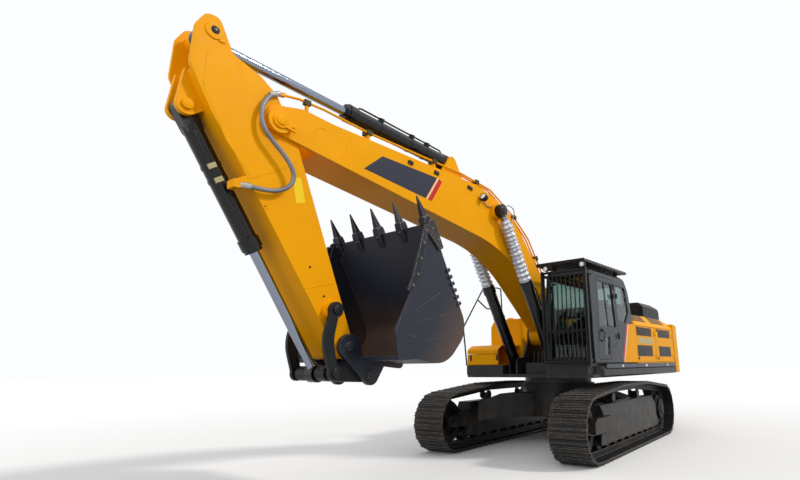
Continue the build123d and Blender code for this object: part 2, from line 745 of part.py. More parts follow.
def tool_box():
    return tool_box_solid() & block(300, 1300, -1600, -700, 1500, tool_split - 4)


def tool_box_lid():
    lid = tool_box_solid() & block(300, 1300, -1600, -700, tool_split + 4, 2000)
    for y in (-1400, -720):
        lid += block(tool_front - 3, tool_front + 17, y - 25, y + 25, tool_split + 10, tool_split + 70)
    # barrels between the tank's front face and the lid
    hinge = hull(((lid_hinge_x, tool_top), lid_hinge_radius), ((tool_rear + 20, tool_top - 6), 5))
    for y in (-1350, -850):
        lid += across(hinge, y, y + 110)
    return lid


def handrails():
    rail = 16
    y = -side_box_y - rail - 4
    top = FilletPolyline((1225, y, sill_top), (1340, y, 2360), (640, y, 3240), (100, y, 3360), (-110, y, 3360),
                         (-165, y, 2250), radius=60)
    middle = FilletPolyline((820, y, 3005), (480, y, 2835), (-135, y, 2835), radius=60)
    shape = Part() + [sweep(Plane(origin=path @ 0, z_dir=path % 0) * Circle(rail), path) for path in (top, middle)]
    clamp = block(-190, -140, y - 5, -side_box_y, 2260, 2330)
    return shape + clamp


def control_valve():
    """The swivel hoses' steel pipes and the valve block between the boom cylinders."""
    shape = block(520, 900, -240, 240, deck_top, deck_top + 220)
    for y in (-150, -50, 50, 150):
        path = FilletPolyline((700, y, deck_top + 200), (700, y, deck_top + 420), (480, y, deck_top + 520), radius=80)
        shape += sweep(Plane(origin=path @ 0, z_dir=path % 0) * Circle(20), path)
    return shape


nodes["engine_housing"] = engine_housing()
for name, *sizes in service_doors:
    nodes[name] = service_door(*sizes)
nodes["engine_hood"] = engine_hood()
nodes["engine_block"] = engine_block()
nodes["fuel_tank"] = fuel_tank()
nodes["tool_box"] = tool_box()
nodes["tool_box_lid"] = tool_box_lid()
nodes["handrails"] = handrails()
nodes["control_valve"] = control_valve()


# ------------------------------------------------------------------ working equipment
eye_half = 70                       # half width of a cylinder's eye
ear_gap = eye_half + side_gap
lever_inner = 347
lever_thickness = 48
ear_inner = 286                     # inner face of the bucket's hinge ears
ear_thickness = 55


def boom_side():
    """(along, above, corner radius), from the foot round the underside and back over the top."""
    nose = boom_length
    return outline([(-200, -160, 110), (2320, 783, 3000), (nose - 130, -112, 400), (nose + 155, -152, 120),
                    (nose + 165, 135, 130), (nose - 210, 378, 300), (nose - 650, 494, 400), (2669, 1770, 2400), (-215, 139, 150)])


def boom():
    side = boom_side()
    body = across(side, -boom_half, boom_half)
    hollow = offset(side, -40) & Pos(3300, 500) * Rectangle(5200, 4000)
    body -= across(hollow, -boom_half + 30, boom_half - 30)
    body += across(disc((0, 0), 215), -girder_y + side_gap, girder_y - side_gap)
    body -= across(disc((0, 0), 70 + fit), -400, 400)
    body -= across(Pos(6900, 0) * Rectangle(1000, 1600), -arm_half - side_gap, arm_half + side_gap)
    body += both_sides(across(disc((boom_length, 0), 150), boom_half - 2, boom_half + 55))
    body += both_sides(across(disc((boom_length, 0), 95), boom_half + 50, boom_half + 78))
    body += across(disc((boom_length, 0), 75), -boom_half - 10, boom_half + 10)
    ear = hull((arm_ram_foot, 110), ((3560, 1360), 50), ((4180, 1180), 50))
    body += both_sides(across(ear, ear_gap, ear_gap + 45))
    body += across(disc(arm_ram_foot, 48), -ear_gap - 10, ear_gap + 10)
    body += both_sides(across(disc(boom_ram_eye, 150), boom_half - 2, boom_ram_y - eye_half + 10 - side_gap))
    return body


pipe_radius = 16
pipe_y = boom_half - 18                 # the outer pipe clears the arm's side inside the fork
# Two hard pipes on each side of the boom's back, in the boom's frame (along, above)
long_pipe = [(boom_length + 70, 368), (boom_length - 110, 470), (boom_length - 470, 598),
             (boom_length - 1176, 786), (3901, 1446), (3077, 1650), (2226, 1560), (1656, 1395), (900, 895)]
short_pipe = [(4240, 1330), (3901, 1446), (3077, 1650), (2226, 1560), (1656, 1395), (900, 895)]
pipe_spacing = 58
# where the pipes are held: along, above, lean in degrees
pipe_clamps = [(boom_length - 220, 500, -21), (boom_length - 1176, 786, -17), (4553, 1223, -19), (3480, 1550, -14), (2226, 1560, 10),
               (1278, 1145, 33)]


def boom_pipes():
    shape = Part()
    for route, y in ((long_pipe, pipe_y), (short_pipe, pipe_y - pipe_spacing)):
        path = FilletPolyline([(along_boom, y, above) for along_boom, above in route], radius=180)
        shape += sweep(Plane(origin=path @ 0, z_dir=path % 0) * Circle(pipe_radius), path)
    fitting = Pos(*long_pipe[0]) * Rot(0, 0, aim(long_pipe[1], long_pipe[0])[1]) * Pos(30, 0) * Rectangle(84, 46)
    shape += across(fitting, pipe_y - 24, pipe_y + 24)
    inner, outer = pipe_y - pipe_spacing - 26, pipe_y + 26
    for along_boom, above, lean in pipe_clamps:
        low = pipe_y - 24 if along_boom > boom_length - 610 else inner
        at = Pos(along_boom, above) * Rot(0, 0, lean)
        shape += across(at * RectangleRounded(76, 58, 10), low, outer)
        shape += across(at * Pos(0, -110) * Rectangle(34, 220), low + 4, outer - 10)
    return both_sides(shape - across(offset(boom_side(), seat_gap), -boom_half, boom_half + 50))


def boom_light():
    """A round lamp in a hood on the boom's left side, facing ahead."""
    centre, radius, depth = (3311, 1310), 62, 90
    y = boom_half + 85
    ahead = Rot(0, 90, 0)
    lamp = Pos(centre[0], y, centre[1]) * ahead * (Cylinder(radius, depth) - Pos(0, 0, depth / 2) * Cylinder(radius - 8, 16))
    foot = block(centre[0] - 60, centre[0] + 10, boom_half + seat_gap, y - 30, centre[1] - 24, centre[1] + 24)
    return lamp + foot


hose_radius = 27
# the hose over the arm's pin, drawn at rest in the arm's frame: along, above, aside
arm_hose_route = [(-334, -135, 292), (-330, -60, 298), (-280, 50, 312), (-180, 165, 334), (-15, 240, 352),
                  (130, 232, 364), (270, 172, 372), (400, 108, 377), (530, 62, 378), (655, 52, 374), (755, 120, 366),
                  (797, 250, 354), (780, 385, 342), (728, 520, 328), (668, 640, 312), (640, 716, 298)]


def arm_hoses():
    points = [Vector(x, y, z) for x, z, y in arm_hose_route]
    bends = []
    for before, here, after in zip(points, points[1:], points[2:]):
        turn = (here - before).get_angle(after - here)
        bends.append(0.45 * min((here - before).length, (after - here).length) / tan(radians(turn / 2)))
    print("hose radii", [round(bend) for bend in bends])
    path = FilletPolyline(points, radius=bends)
    return sweep(Plane(origin=path @ 0, z_dir=path % 0) * Circle(hose_radius), path)


def ram(sizes, length, slide_in, foot_bore, half=eye_half):
    """A hydraulic cylinder along +X from its foot pin: the tube, and the rod with its eye."""
    tube_radius, rod_radius, tube_length = sizes
    bottom = 230
    tube = Pos(bottom - 30, 0, 0) * Rot(0, 90, 0) * Cylinder(tube_radius, tube_length - bottom + 30,
                                                           align=(Align.CENTER, Align.CENTER, Align.MIN))
    # the gland: a thick collar that steps down to its nose
    for start, length_along, step in ((tube_length - 170, 130, 16), (tube_length - 50, 50, -14)):
        tube += Pos(start, 0, 0) * Rot(0, 90, 0) * Cylinder(tube_radius + step, length_along,
                                                            align=(Align.CENTER, Align.CENTER, Align.MIN))
    tube += across(hull(((0, 0), tube_radius - 5), ((bottom, 0), tube_radius * 0.9)), -half, half)
    tube -= across(disc((0, 0), foot_bore + fit), -half - 5, half + 5)
    tube -= Pos(bottom, 0, 0) * Rot(0, 90, 0) * Cylinder(rod_radius + 0.5, tube_length,
                                                         align=(Align.CENTER, Align.CENTER, Align.MIN))
    start = bottom + 5 + slide_in
    rod = Pos(start, 0, 0) * Rot(0, 90, 0) * Cylinder(rod_radius, length - start,
                                                      align=(Align.CENTER, Align.CENTER, Align.MIN))
    rod += across(disc((length, 0), rod_radius * 1.85), -half, half)
    return tube, rod


def arm():
    side = outline([(-330, -130, 150), (180, -208, 300), (2650, -122, 400), (2955, -128, 120), (2955, 132, 120),
                    (2830, 152, 200), (620, 552, 900), (-150, 720, 60), (-340, 745, 80), (-700, 780, 150),
                    (-1120, 580, 120), (-1240, 430, 100), (-1200, 285, 90), (-795, 265, 110), (-555, 5, 150)])
    body = across(side, -arm_half, arm_half)
    hollow = offset(side, -40) & Pos(1100, 300) * Rectangle(2000, 2000)
    body -= across(hollow, -arm_half + 30, arm_half - 30)
    lobe = Pos(-1040, 300) * Rectangle(800, 1400)
    body -= across(lobe, -arm_half + 45, arm_half - 45)
    body += both_sides(across(disc(arm_ram_eye, 104), ear_gap, arm_half - 40))
    body -= across(disc((0, 0), 75 + fit), -400, 400)
    ear = hull((bucket_ram_foot, 112), ((-640, 740), 50), ((-260, 720), 50))
    body += both_sides(across(ear, ear_gap, ear_gap + 60))
    # the block on the arm's edge that the hose screws into
    hose_end = arm_hose_route[-1]
    port = Pos(hose_end[0] - 10, hose_end[1] + 28) * Rot(0, 0, 20) * RectangleRounded(96, 80, 14)
    bracket = Polygon((540, 470), (650, 470), (670, 770), (580, 770), align=None)
    body += across(bracket, arm_half - 60, arm_half - 2) + across(port, arm_half - 60, hose_end[2] + 40)
    body += across(disc(bucket_ram_foot, 46), -ear_gap - 10, ear_gap + 10)
    body += both_sides(across(disc(lever_pivot, 110), arm_half - 2, lever_inner - side_gap))
    body += both_sides(across(disc(lever_pivot, 50), lever_inner - side_gap - 2, lever_inner + lever_thickness + 12))
    body += both_sides(across(disc((arm_length, 0), 125), arm_half - 2, ear_inner - side_gap))
    body -= across(disc((arm_length, 0), 55 + fit), -400, 400)
    return body


lever_length, lever_angle = aim(lever_pivot, lever_tip)


def levers():
    """The banana-shaped pair that carries the cylinder's eye; drawn along +X from the pivot."""
    bow = outline([(-70, -60, 60), (lever_length / 2, 40, 500), (lever_length + 70, -60, 60),
                   (lever_length + 70, 60, 60), (lever_length / 2, 190, 500), (-70, 60, 60)])
    plate = bow + disc((0, 0), 95) + disc((lever_length, 0), 92)
    pair = across(plate, lever_inner, lever_inner + lever_thickness)
    pair -= across(disc((0, 0), 50 + fit), 0, 500)
    pair += across(disc((lever_length, 0), 52), ear_gap + 5, lever_inner + lever_thickness + 14)
    return both_sides(pair)


def link(length):
    """Drawn along +X from the levers' tip to its own pin in the bucket's ears."""
    arm_low, arm_high = ear_gap + 25, ear_inner - side_gap
    bar = hull(((0, 0), 88), ((length, 0), 86))
    bars = both_sides(across(bar, arm_low, arm_high))
    tube = across(disc((length, 0), 86), -arm_high, arm_high)
    web = across(Pos(length - 150, 0) * RectangleRounded(210, 90, 20), -arm_high, arm_high)
    return bars + tube + web - across(disc((0, 0), 52 + fit), -400, 400)


lip_edge = (1757, 292)              # outer edge of the bucket's floor plate
heel = (590, 1385)
bucket_wall = 36
_, floor_angle = aim(heel, lip_edge)


def bucket_side():
    lip_corner = shifted(lip_edge, turned((0, -90), floor_angle))
    return outline([(-125, 240, 25), (190, 78, 60), (720, 200, 500), (*lip_corner, 15), (*lip_edge, 10),
                    (*heel, 330), (20, 1060, 480), (-35, 520, 600)])


def bucket():
    side = bucket_side()
    wall = bucket_wall
    floor_inside = [shifted(lip_edge, turned((reach, -wall), floor_angle)) for reach in (-100, 60)]
    mouth = Polygon((-75, 275), *floor_inside, (1760, 100), (-60, -100), align=None)
    cavity = offset(side, -wall) + mouth
    body = across(side, -bucket_half, bucket_half) - across(cavity, -bucket_half + wall, bucket_half - wall)
    ear = hull(((0, 0), 150), (bucket_link_pin, 122), ((40, 560), 90), ((90, 150), 60)) + hull(
        ((-60, 420), 60), ((10, 880), 60), ((140, 860), 40), ((60, 300), 60))
    ear -= offset(side, -wall / 2)
    body += both_sides(across(ear, ear_inner, ear_inner + ear_thickness))
    body += across(disc((0, 0), 55), -ear_inner - ear_thickness - 30, ear_inner + ear_thickness + 30)
    body += both_sides(across(disc(bucket_link_pin, 75), ear_inner + ear_thickness - 2, ear_inner + ear_thickness + 25))
    return body


tooth_count = 5
tooth_width = 116
lip = shifted(lip_edge, turned((0, -bucket_wall / 2), floor_angle))


def bucket_teeth():
    """Adapters and pointed teeth along the lip, and the bolted side cutters."""
    reach = hypot(tooth_reach - lip[0], lip[1])
    half = tooth_width / 2
    slot = bucket_wall / 2 + seat_gap
    side = Polygon((-190, -slot - 14), (20, -64), (105, -50), (112, -38), (reach, -5), (reach, 5), (112, 40),
                   (105, 54), (20, 66), (-190, slot + 18), (-190, slot), (seat_gap, slot), (seat_gap, -slot),
                   (-190, -slot), align=None)
    plan = Polygon((-200, -half + 16), (-60, -half), (92, -half), (104, -half + 16), (reach + 5, -9),
                   (reach + 5, 9), (104, half - 16), (92, half), (-60, half), (-200, half - 16), align=None)
    tooth = across(side, -80, 80) & upright(plan, -100, 100)
    outer = bucket_half - bucket_wall - half - 2
    places = [-outer + i * 2 * outer / (tooth_count - 1) for i in range(tooth_count)]
    return Part() + [Pos(lip[0], y, lip[1]) * Rot(0, -floor_angle, 0) * tooth for y in places]


def side_cutters():
    """Bolted plates along the bucket's leading edges, with a shroud round each lip corner."""
    thickness = 30
    cutter = outline([(705, 108, 12), (930, 148, 60), (1660, 158, 12), (1655, 236, 12), (900, 264, 60), (740, 192, 12)])
    shroud = outline([(1600, 200, 15), (1722, 205, 15), (1806, 292, 15), (1735, 356, 15), (1500, 576, 20),
                      (1436, 520, 20)])
    face = bucket_half + seat_gap
    return both_sides(across(cutter + shroud, face, face + thickness))


ram_length, ram_angle = aim(boom_ram_foot, on_boom(boom_ram_eye))
arm_ram_length, arm_ram_angle = aim(on_boom(arm_ram_foot), on_arm(arm_ram_eye))
bucket_ram_length, bucket_ram_angle = aim(on_arm(bucket_ram_foot), on_arm(lever_tip))
link_length, link_angle = aim(on_arm(lever_tip), on_bucket(bucket_link_pin))

tube, rod = ram(boom_ram, ram_length, 760, 60, half=60)
boot_end = ram_length - 182             # where the sleeve is clamped on the rod, behind its eye
# along the rod, radius
boot_wall = Polygon((boom_ram[2] + seat_gap, 94), (boom_ram[2] + seat_gap, 122), (boot_end - 60, 122),
                    (boot_end, boom_ram[1] + 16), (boot_end, boom_ram[1] + seat_gap),
                    (boot_end - 40, boom_ram[1] + seat_gap), (boot_end - 60, 94), align=None)
boot = revolve(Plane.XZ * boot_wall, Axis.X)
nodes["boom"] = placed(boom(), boom_foot, boom_angle)
nodes["boom_pipes"] = placed(boom_pipes(), boom_foot, boom_angle)
nodes["boom_light"] = placed(boom_light(), boom_foot, boom_angle)
for name, piece in (("boom_cylinder_tubes", tube), ("boom_cylinder_rods", rod), ("boom_cylinder_boots", boot)):
    nodes[name] = placed(both_sides(Pos(0, boom_ram_y, 0) * piece), boom_ram_foot, ram_angle)
tube, rod = ram(arm_ram, arm_ram_length, 1690, 48)
nodes["arm_cylinder_tube"] = placed(tube, on_boom(arm_ram_foot), arm_ram_angle)
nodes["arm_cylinder_rod"] = placed(rod, on_boom(arm_ram_foot), arm_ram_angle)
nodes["arm"] = placed(arm(), arm_pin, arm_angle)
nodes["arm_hoses"] = placed(arm_hoses(), arm_pin, arm_angle) - nodes["arm"] - nodes["boom_pipes"]
tube, rod = ram(bucket_ram, bucket_ram_length, 1020, 46)
nodes["bucket_cylinder_tube"] = placed(tube, on_arm(bucket_ram_foot), bucket_ram_angle)
nodes["bucket_cylinder_rod"] = placed(rod, on_arm(bucket_ram_foot), bucket_ram_angle)
nodes["bucket_levers"] = placed(levers(), on_arm(lever_pivot), arm_angle + lever_angle)
nodes["bucket_link"] = placed(link(link_length), on_arm(lever_tip), link_angle)
nodes["bucket"] = placed(bucket(), bucket_pin, bucket_angle)
nodes["bucket_teeth"] = placed(bucket_teeth(), bucket_pin, bucket_angle)
nodes["side_cutters"] = placed(side_cutters(), bucket_pin, bucket_angle)


for name, shape in nodes.items():
    export_step(Pos(-origin_ahead, 0, 0) * shape, f"parts/{name}.step")
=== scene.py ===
# %% [markdown]
# # A crawler excavator, finished in Blender
# The solid pieces of the machine come in as a fixed frame: each steel part already has its true shape, size and
# place. This lesson gives every part its finish and adds what is too small or too soft for the solids: sleeves on
# the cylinders, pipes and hoses, bolts, lamps, seat cushions and the coloured bands on the sheet metal.
# Everything is in metres. +X is ahead of the cab, +Y is the cab's side, and z = 0 is the ground.

# %% Load the frame
import bpy
import bmesh
import json
import random
from math import atan2, cos, pi, radians, sin
from mathutils import Matrix, Vector


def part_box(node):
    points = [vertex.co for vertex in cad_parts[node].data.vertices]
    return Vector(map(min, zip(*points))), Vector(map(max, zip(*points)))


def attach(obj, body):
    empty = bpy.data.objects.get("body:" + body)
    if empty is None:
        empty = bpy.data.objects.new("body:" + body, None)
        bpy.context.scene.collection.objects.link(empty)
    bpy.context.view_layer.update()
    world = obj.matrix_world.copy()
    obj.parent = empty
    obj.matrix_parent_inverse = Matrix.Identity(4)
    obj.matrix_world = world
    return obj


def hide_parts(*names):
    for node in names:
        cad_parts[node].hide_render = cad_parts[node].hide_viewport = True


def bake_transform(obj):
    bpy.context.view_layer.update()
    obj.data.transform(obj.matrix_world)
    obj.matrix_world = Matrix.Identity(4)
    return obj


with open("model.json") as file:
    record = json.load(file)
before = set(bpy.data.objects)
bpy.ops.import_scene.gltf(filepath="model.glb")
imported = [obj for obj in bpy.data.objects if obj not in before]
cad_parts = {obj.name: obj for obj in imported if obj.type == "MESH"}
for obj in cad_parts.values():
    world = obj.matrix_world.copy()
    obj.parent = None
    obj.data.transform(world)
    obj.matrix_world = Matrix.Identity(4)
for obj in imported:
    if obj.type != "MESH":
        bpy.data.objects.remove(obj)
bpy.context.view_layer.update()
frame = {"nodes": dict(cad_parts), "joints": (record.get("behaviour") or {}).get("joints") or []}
nodes = frame["nodes"]

# %% [markdown]
# ## Two helpers
# Floor, surroundings and every finish are made of nodes. One small class adds a node and links its inputs in a
# single line. That is shorter than writing out each link, and easier to read.

# %% A class for nodes, and a function that adds to the scene
class Nodes:
    """The nodes of a material or a world, built one at a time; inputs take a value or another node's output."""

    def __init__(self, owner):
        owner.use_nodes = True
        self.owner, self.tree = owner, owner.node_tree
        self.place = self.add("TexCoord").outputs["Object"]

    def feed(self, target, value):
        if isinstance(value, bpy.types.NodeSocket):
            self.tree.links.new(value, target)
        else:
            target.default_value = value

    def add(self, kind, settings=(), **inputs):
        node = self.tree.nodes.new("ShaderNode" + kind)
        for key, value in dict(settings).items():
            setattr(node, key, value)
        for key, value in inputs.items():
            self.feed(node.inputs[key.replace("_", " ")], value)
        return node

    def math(self, kind, operation, *values):
        """A Math or VectorMath node, whose inputs are told apart only by their order."""
        node = self.add(kind, {"operation": operation})
        for target, value in zip(node.inputs, values):
            self.feed(target, value)
        return node.outputs["Value"]

    def product(self, first, second):
        return self.math("Math", "MULTIPLY", first, second)

    def noise(self, scale, detail=3.0):
        return self.add("TexNoise", Vector=self.place, Scale=scale, Detail=detail).outputs["Fac"]

    def ranged(self, value, low, high, to_low=0.0, to_high=1.0):
        return self.add("MapRange", Value=value, From_Min=low, From_Max=high, To_Min=to_low,
                        To_Max=to_high).outputs["Result"]

    def mix(self, factor, first, second):
        return self.add("Mix", {"data_type": "RGBA"}, Factor=factor, A=first, B=second).outputs["Result"]

    def bump(self, height, strength, depth, **under):
        return self.add("Bump", Height=height, Strength=strength, Distance=depth, **under).outputs["Normal"]

    def edge(self, radius):
        """1 along edges and 0 on flats, with the rounded normal that finds them."""
        rounded = self.add("Bevel", {"samples": 4}, Radius=radius).outputs["Normal"]
        true = self.add("NewGeometry").outputs["Normal"]
        return self.ranged(self.math("VectorMath", "DOT_PRODUCT", rounded, true), 0.995, 0.93), rounded

    def dress(self, **sockets):
        """Fills the shader's sockets and hands over the finished material."""
        shader = self.tree.nodes["Principled BSDF"]
        for key, value in sockets.items():
            self.feed(shader.inputs[key.replace("_", " ")], value)
        return self.owner


def add_to_scene(thing):
    bpy.context.scene.collection.objects.link(thing)


print("helpers ready")

# %% [markdown]
# ## Camera
# The machine is seen from low down, near the end of the raised boom, so that the arm looms and the tracks look
# small. Such a view needs a wide lens close by. The camera is turned by its own three axes, which says plainly
# where it looks: its heading on the ground, how far it tips up, and a slight roll.

# %% Camera
heading, tip_up, roll = radians(-143.556), radians(13.84), radians(-0.846)
ahead = Vector((cos(tip_up) * cos(heading), cos(tip_up) * sin(heading), sin(tip_up)))
level = Vector((sin(heading), -cos(heading), 0))
above = level.cross(ahead)
side_axis = level * cos(roll) + above * sin(roll)
up_axis = above * cos(roll) - level * sin(roll)
camera = bpy.data.objects.new("camera", bpy.data.cameras.new("camera"))
camera.matrix_world = Matrix.Translation((7.802, 5.472, 1.568)) @ Matrix(
    (side_axis, up_axis, -ahead)).transposed().to_4x4()
camera.data.sensor_width = 36
camera.data.lens = 22.82
camera.data.shift_x = -0.1064
camera.data.clip_end = 300
add_to_scene(camera)
bpy.context.scene.camera = camera
print("camera", [round(v, 3) for v in camera.location])

# %% [markdown]
# ## Floor and light
# The machine stands on a pale floor in an even, bright surrounding. A single broad sun comes from the cab's side,
# high and a little behind, so the sides of the boom glow and its underside stays deep; a weak broad one opens the
# shadows. To the camera, to mirrors and to glass the surroundings are white; as a light they are dimmer, so that the
# paint keeps its colour.

# %% Floor
def seen_directly(made):
    """1 for the camera's rays and for what mirrors and glass show of them, otherwise 0."""
    ray = made.add("LightPath").outputs
    either = made.math("Math", "MAXIMUM", ray["Is Camera Ray"], ray["Is Glossy Ray"])
    return made.math("Math", "MAXIMUM", either, ray["Is Transmission Ray"])


reach = 120
floor_mesh = bpy.data.meshes.new("floor")
corners = [(x * reach, y * reach, 0) for x, y in ((-1, -1), (1, -1), (1, 1), (-1, 1))]
floor_mesh.from_pydata(corners, [], [(0, 1, 2, 3)])
floor = bpy.data.objects.new("floor", floor_mesh)
add_to_scene(floor)
made = Nodes(bpy.data.materials.new("pale_floor"))
thrown_back, seen, fade_start, fade_end = (0.13, 0.12, 0.11, 1), (0.93, 0.93, 0.93, 1), 7.5, 16
matte = made.add("BsdfDiffuse", Color=made.mix(seen_directly(made), thrown_back, seen))
fade = made.ranged(made.math("VectorMath", "LENGTH", made.place), fade_start, fade_end)
both = made.add("MixShader", Fac=fade)
made.feed(both.inputs[1], matte.outputs[0])
made.feed(both.inputs[2], made.add("Emission").outputs[0])
made.feed(made.tree.nodes["Material Output"].inputs["Surface"], both.outputs[0])
made.tree.nodes.remove(made.tree.nodes["Principled BSDF"])
floor_mesh.materials.append(made.owner)
print("floor fades to white from", fade_start, "m")

# %% Surroundings and suns
sky = Nodes(bpy.data.worlds.new("bright_surroundings"))
bpy.context.scene.world = sky.owner
backdrop = sky.tree.nodes["Background"].inputs
sky.feed(backdrop["Strength"], sky.ranged(seen_directly(sky), 0, 1, 0.62, 1.0))
sky.feed(backdrop["Color"], (0.97, 0.985, 1, 1))
for name, energy, spread, colour, towards in (("sun", 1.45, 7, (1, 0.96, 0.9), (-0.5, 1, 0.85)),
                                              ("fill", 0.9, 50, (1, 1, 1), (1, 0.25, 0.45))):
    light = bpy.data.objects.new(name, bpy.data.lights.new(name, "SUN"))
    light.data.energy, light.data.angle, light.data.color = energy, radians(spread), colour
    light.rotation_euler = Vector(towards).to_track_quat("Z", "Y").to_euler()
    add_to_scene(light)
    print(name, energy)
bpy.context.scene.view_settings.view_transform = "Standard"

# %% [markdown]
# ## Finishes
# Nothing on a machine has one flat colour. Every finish here is made of nodes: a base colour that drifts a little
# from place to place, a fine bump for the surface, and a worn rim where sheet edges meet the world. Edges are found
# with the Bevel node: where its rounded normal leaves the true normal, there is an edge. The same rounded normal
# also takes the razor sharpness off the sheet metal. Pictures wrapped on the parts would do it too, but nodes need
# no unwrapping and stay sharp from near by.

# %% Colours
def srgb(red, green, blue):
    """A colour as it looks on a screen, from 0 to 255, turned into the linear values that shaders use."""
    part = [v / 255 for v in (red, green, blue)]
    return tuple(v / 12.92 if v <= 0.04045 else ((v + 0.055) / 1.055) ** 2.4 for v in part) + (1,)


def scaled(colour, factor, lift=0.0):
    """A lighter or darker version of a colour."""
    return tuple(min(v * factor + lift, 1) for v in colour[:3]) + (1,)


print("yellow is", [round(v, 2) for v in srgb(247, 168, 0)])


# %% [markdown]
# ### Paint
# One recipe covers all the painted steel. The colour drifts slightly, dust lies as a thin pale film in the low parts,
# and along edges the coat is a touch lighter where it is polished or chipped. A fine bump is the orange peel of
# sprayed paint, and a broad faint one is the waviness of welded sheet. One recipe with a few dials keeps the paints
# alike, as they are on a machine that was sprayed in one shop.

# %% Paint recipe
def paint(name, colour, rough=0.32, coat=0.25, drift=0.9, edge=0.35, dust=0.0, dust_top=1.6, bevel=0.006,
          specular=0.22):
    """Painted steel; dust lies as a film below the height dust_top."""
    made = Nodes(bpy.data.materials.new(name))
    body = made.mix(made.ranged(made.noise(1.7), 0.35, 0.65), colour, scaled(colour, drift))
    rim, rounded = made.edge(bevel)
    worn = made.product(rim, made.ranged(made.noise(28, 5), 0.35, 0.7))
    body = made.mix(made.product(worn, edge), body, scaled(colour, 1.3, lift=0.03))
    if dust:
        height = made.add("SeparateXYZ", Vector=made.place).outputs["Z"]
        film = made.product(made.ranged(height, dust_top, 0.0), made.ranged(made.noise(4.5, 6), 0.35, 0.75))
        body = made.mix(made.product(film, dust), body, srgb(140, 128, 112))
    peel = made.bump(made.noise(260, 2), 0.05, 0.002, Normal=rounded)
    return made.dress(
        Base_Color=body, Roughness=made.ranged(made.noise(9, 4), 0.3, 0.7, rough - 0.05, rough + 0.08),
        Normal=made.bump(made.noise(2.6, 1), 0.12, 0.02, Normal=peel), Specular_IOR_Level=specular,
        Coat_Weight=coat, Coat_Roughness=0.12)


# %% Paints
finish = {
    "yellow": paint("yellow_paint", srgb(247, 168, 0), rough=0.42, coat=0.0, drift=0.94, edge=0.12, specular=0.07),
    # dark cab paint; its blue tint is partly a painted reflection of a blue sky on the cab's side
    "cab": paint("cab_paint_and_painted_sky_tint", srgb(27, 31, 42), rough=0.26, coat=0.15, drift=0.8, specular=0.2),
    "frame": paint("frame_paint", srgb(26, 28, 33), rough=0.42, coat=0.1, dust=0.25, dust_top=2.2),
    # the sill's slate colour is a painted highlight: lighter than the frame, it stands for the light on the sill's
    # slanted top
    "sill": paint("sill_top_painted_highlight", srgb(47, 54, 72), rough=0.36, coat=0.2),
    "hood": paint("hood_paint", srgb(21, 23, 29), rough=0.38, coat=0.0, specular=0.15),
    "under": paint("undercarriage_paint", srgb(20, 20, 22), rough=0.45, coat=0.05, dust=0.28, dust_top=1.3, edge=0.6),
    "guard": paint("guard_paint", srgb(20, 21, 24), rough=0.38, coat=0.1, bevel=0.003),
    "cylinder": paint("cylinder_paint", srgb(9, 10, 13), rough=0.24, coat=0.3, drift=0.8, bevel=0.004, edge=0.15),
    "red": paint("red_paint", srgb(205, 22, 30), rough=0.35, coat=0.1, bevel=0.001),
    "lamp": paint("lamp_glass", srgb(236, 240, 244), rough=0.15, coat=0.6, bevel=0.001),
    "olive": paint("pipe_clamp_paint", srgb(58, 56, 34), rough=0.5, coat=0.0, bevel=0.002),
    "white": paint("white_paint", srgb(226, 226, 222), rough=0.4, coat=0.1, bevel=0.001),
    "band": paint("dark_band_paint", srgb(38, 42, 60), rough=0.35, coat=0.1, bevel=0.001),
    "blank": paint("blank_plate_paint", srgb(255, 214, 10), rough=0.4, coat=0.0, bevel=0.001),
    "cream": paint("clamp_paint", srgb(196, 186, 140), rough=0.5, coat=0.0),
    "linkage": paint("linkage_paint", srgb(30, 32, 34), rough=0.42, coat=0.0, edge=0.4, specular=0.2),
    "engine": paint("engine_paint", srgb(70, 72, 74), rough=0.5, coat=0.0, dust=0.3, dust_top=3.0),
}
print(len(finish), "paints")

# %% [markdown]
# ### Steel that works
# The tracks, bucket and teeth rub on stone all day. Their paint goes first where they touch the ground: the shoes
# are brown with earth between bright worn ribs, and the bucket is slate-coloured above and scoured brown on its heel.
# Wear painted by hand would need a picture; a direction and a distance say where it begins just as well.

# %% Worn steel
def worn_steel(name, colour, scoured, bare, rough=0.45, grime=0.5, towards=None, start=0.0, full=1.0, metal=0.35):
    """Dark steel; scoured colour comes in patches, or along a direction from start to full metres."""
    made = Nodes(bpy.data.materials.new(name))
    large, fine = made.noise(1.3, 6), made.noise(34, 6)
    if towards:
        reached = made.math("VectorMath", "DOT_PRODUCT", made.place, towards)
        uneven = made.math("Math", "MULTIPLY_ADD", large, (full - start) * 1.1, reached)
        middle = (full - start) * 0.55
        amount = made.ranged(uneven, start + middle, full + middle)
    else:
        amount = made.ranged(large, 0.62 - grime * 0.3, 0.85 - grime * 0.3)
    body = made.mix(made.product(amount, made.ranged(fine, 0.25, 0.75, 0.55, 1.0)), colour, scoured)
    rim, rounded = made.edge(0.01)
    bright = made.product(rim, made.ranged(fine, 0.3, 0.62))
    return made.dress(
        Base_Color=made.mix(bright, body, bare), Roughness=made.ranged(fine, 0.3, 0.7, rough - 0.08, rough + 0.12),
        Metallic=made.ranged(bright, 0, 1, metal, 0.8), Normal=made.bump(fine, 0.35, 0.004, Normal=rounded),
        Specular_IOR_Level=0.25)


finish["track"] = worn_steel("track_steel", srgb(34, 33, 33), srgb(66, 56, 46), srgb(168, 162, 156), rough=0.5,
                             grime=0.3)
finish["running"] = worn_steel("running_gear_steel", srgb(34, 33, 34), srgb(74, 62, 52), srgb(130, 128, 126),
                               grime=0.3)
finish["bucket"] = worn_steel("bucket_steel", srgb(40, 44, 56), srgb(96, 76, 62), srgb(112, 110, 110), rough=0.42,
                              towards=(-0.8, 0, -0.6), start=-3.6, full=-3.05, metal=0.1)
finish["tooth"] = worn_steel("tooth_steel", srgb(36, 39, 48), srgb(96, 84, 76), srgb(160, 156, 152), grime=0.2)
print("worn steels ready")
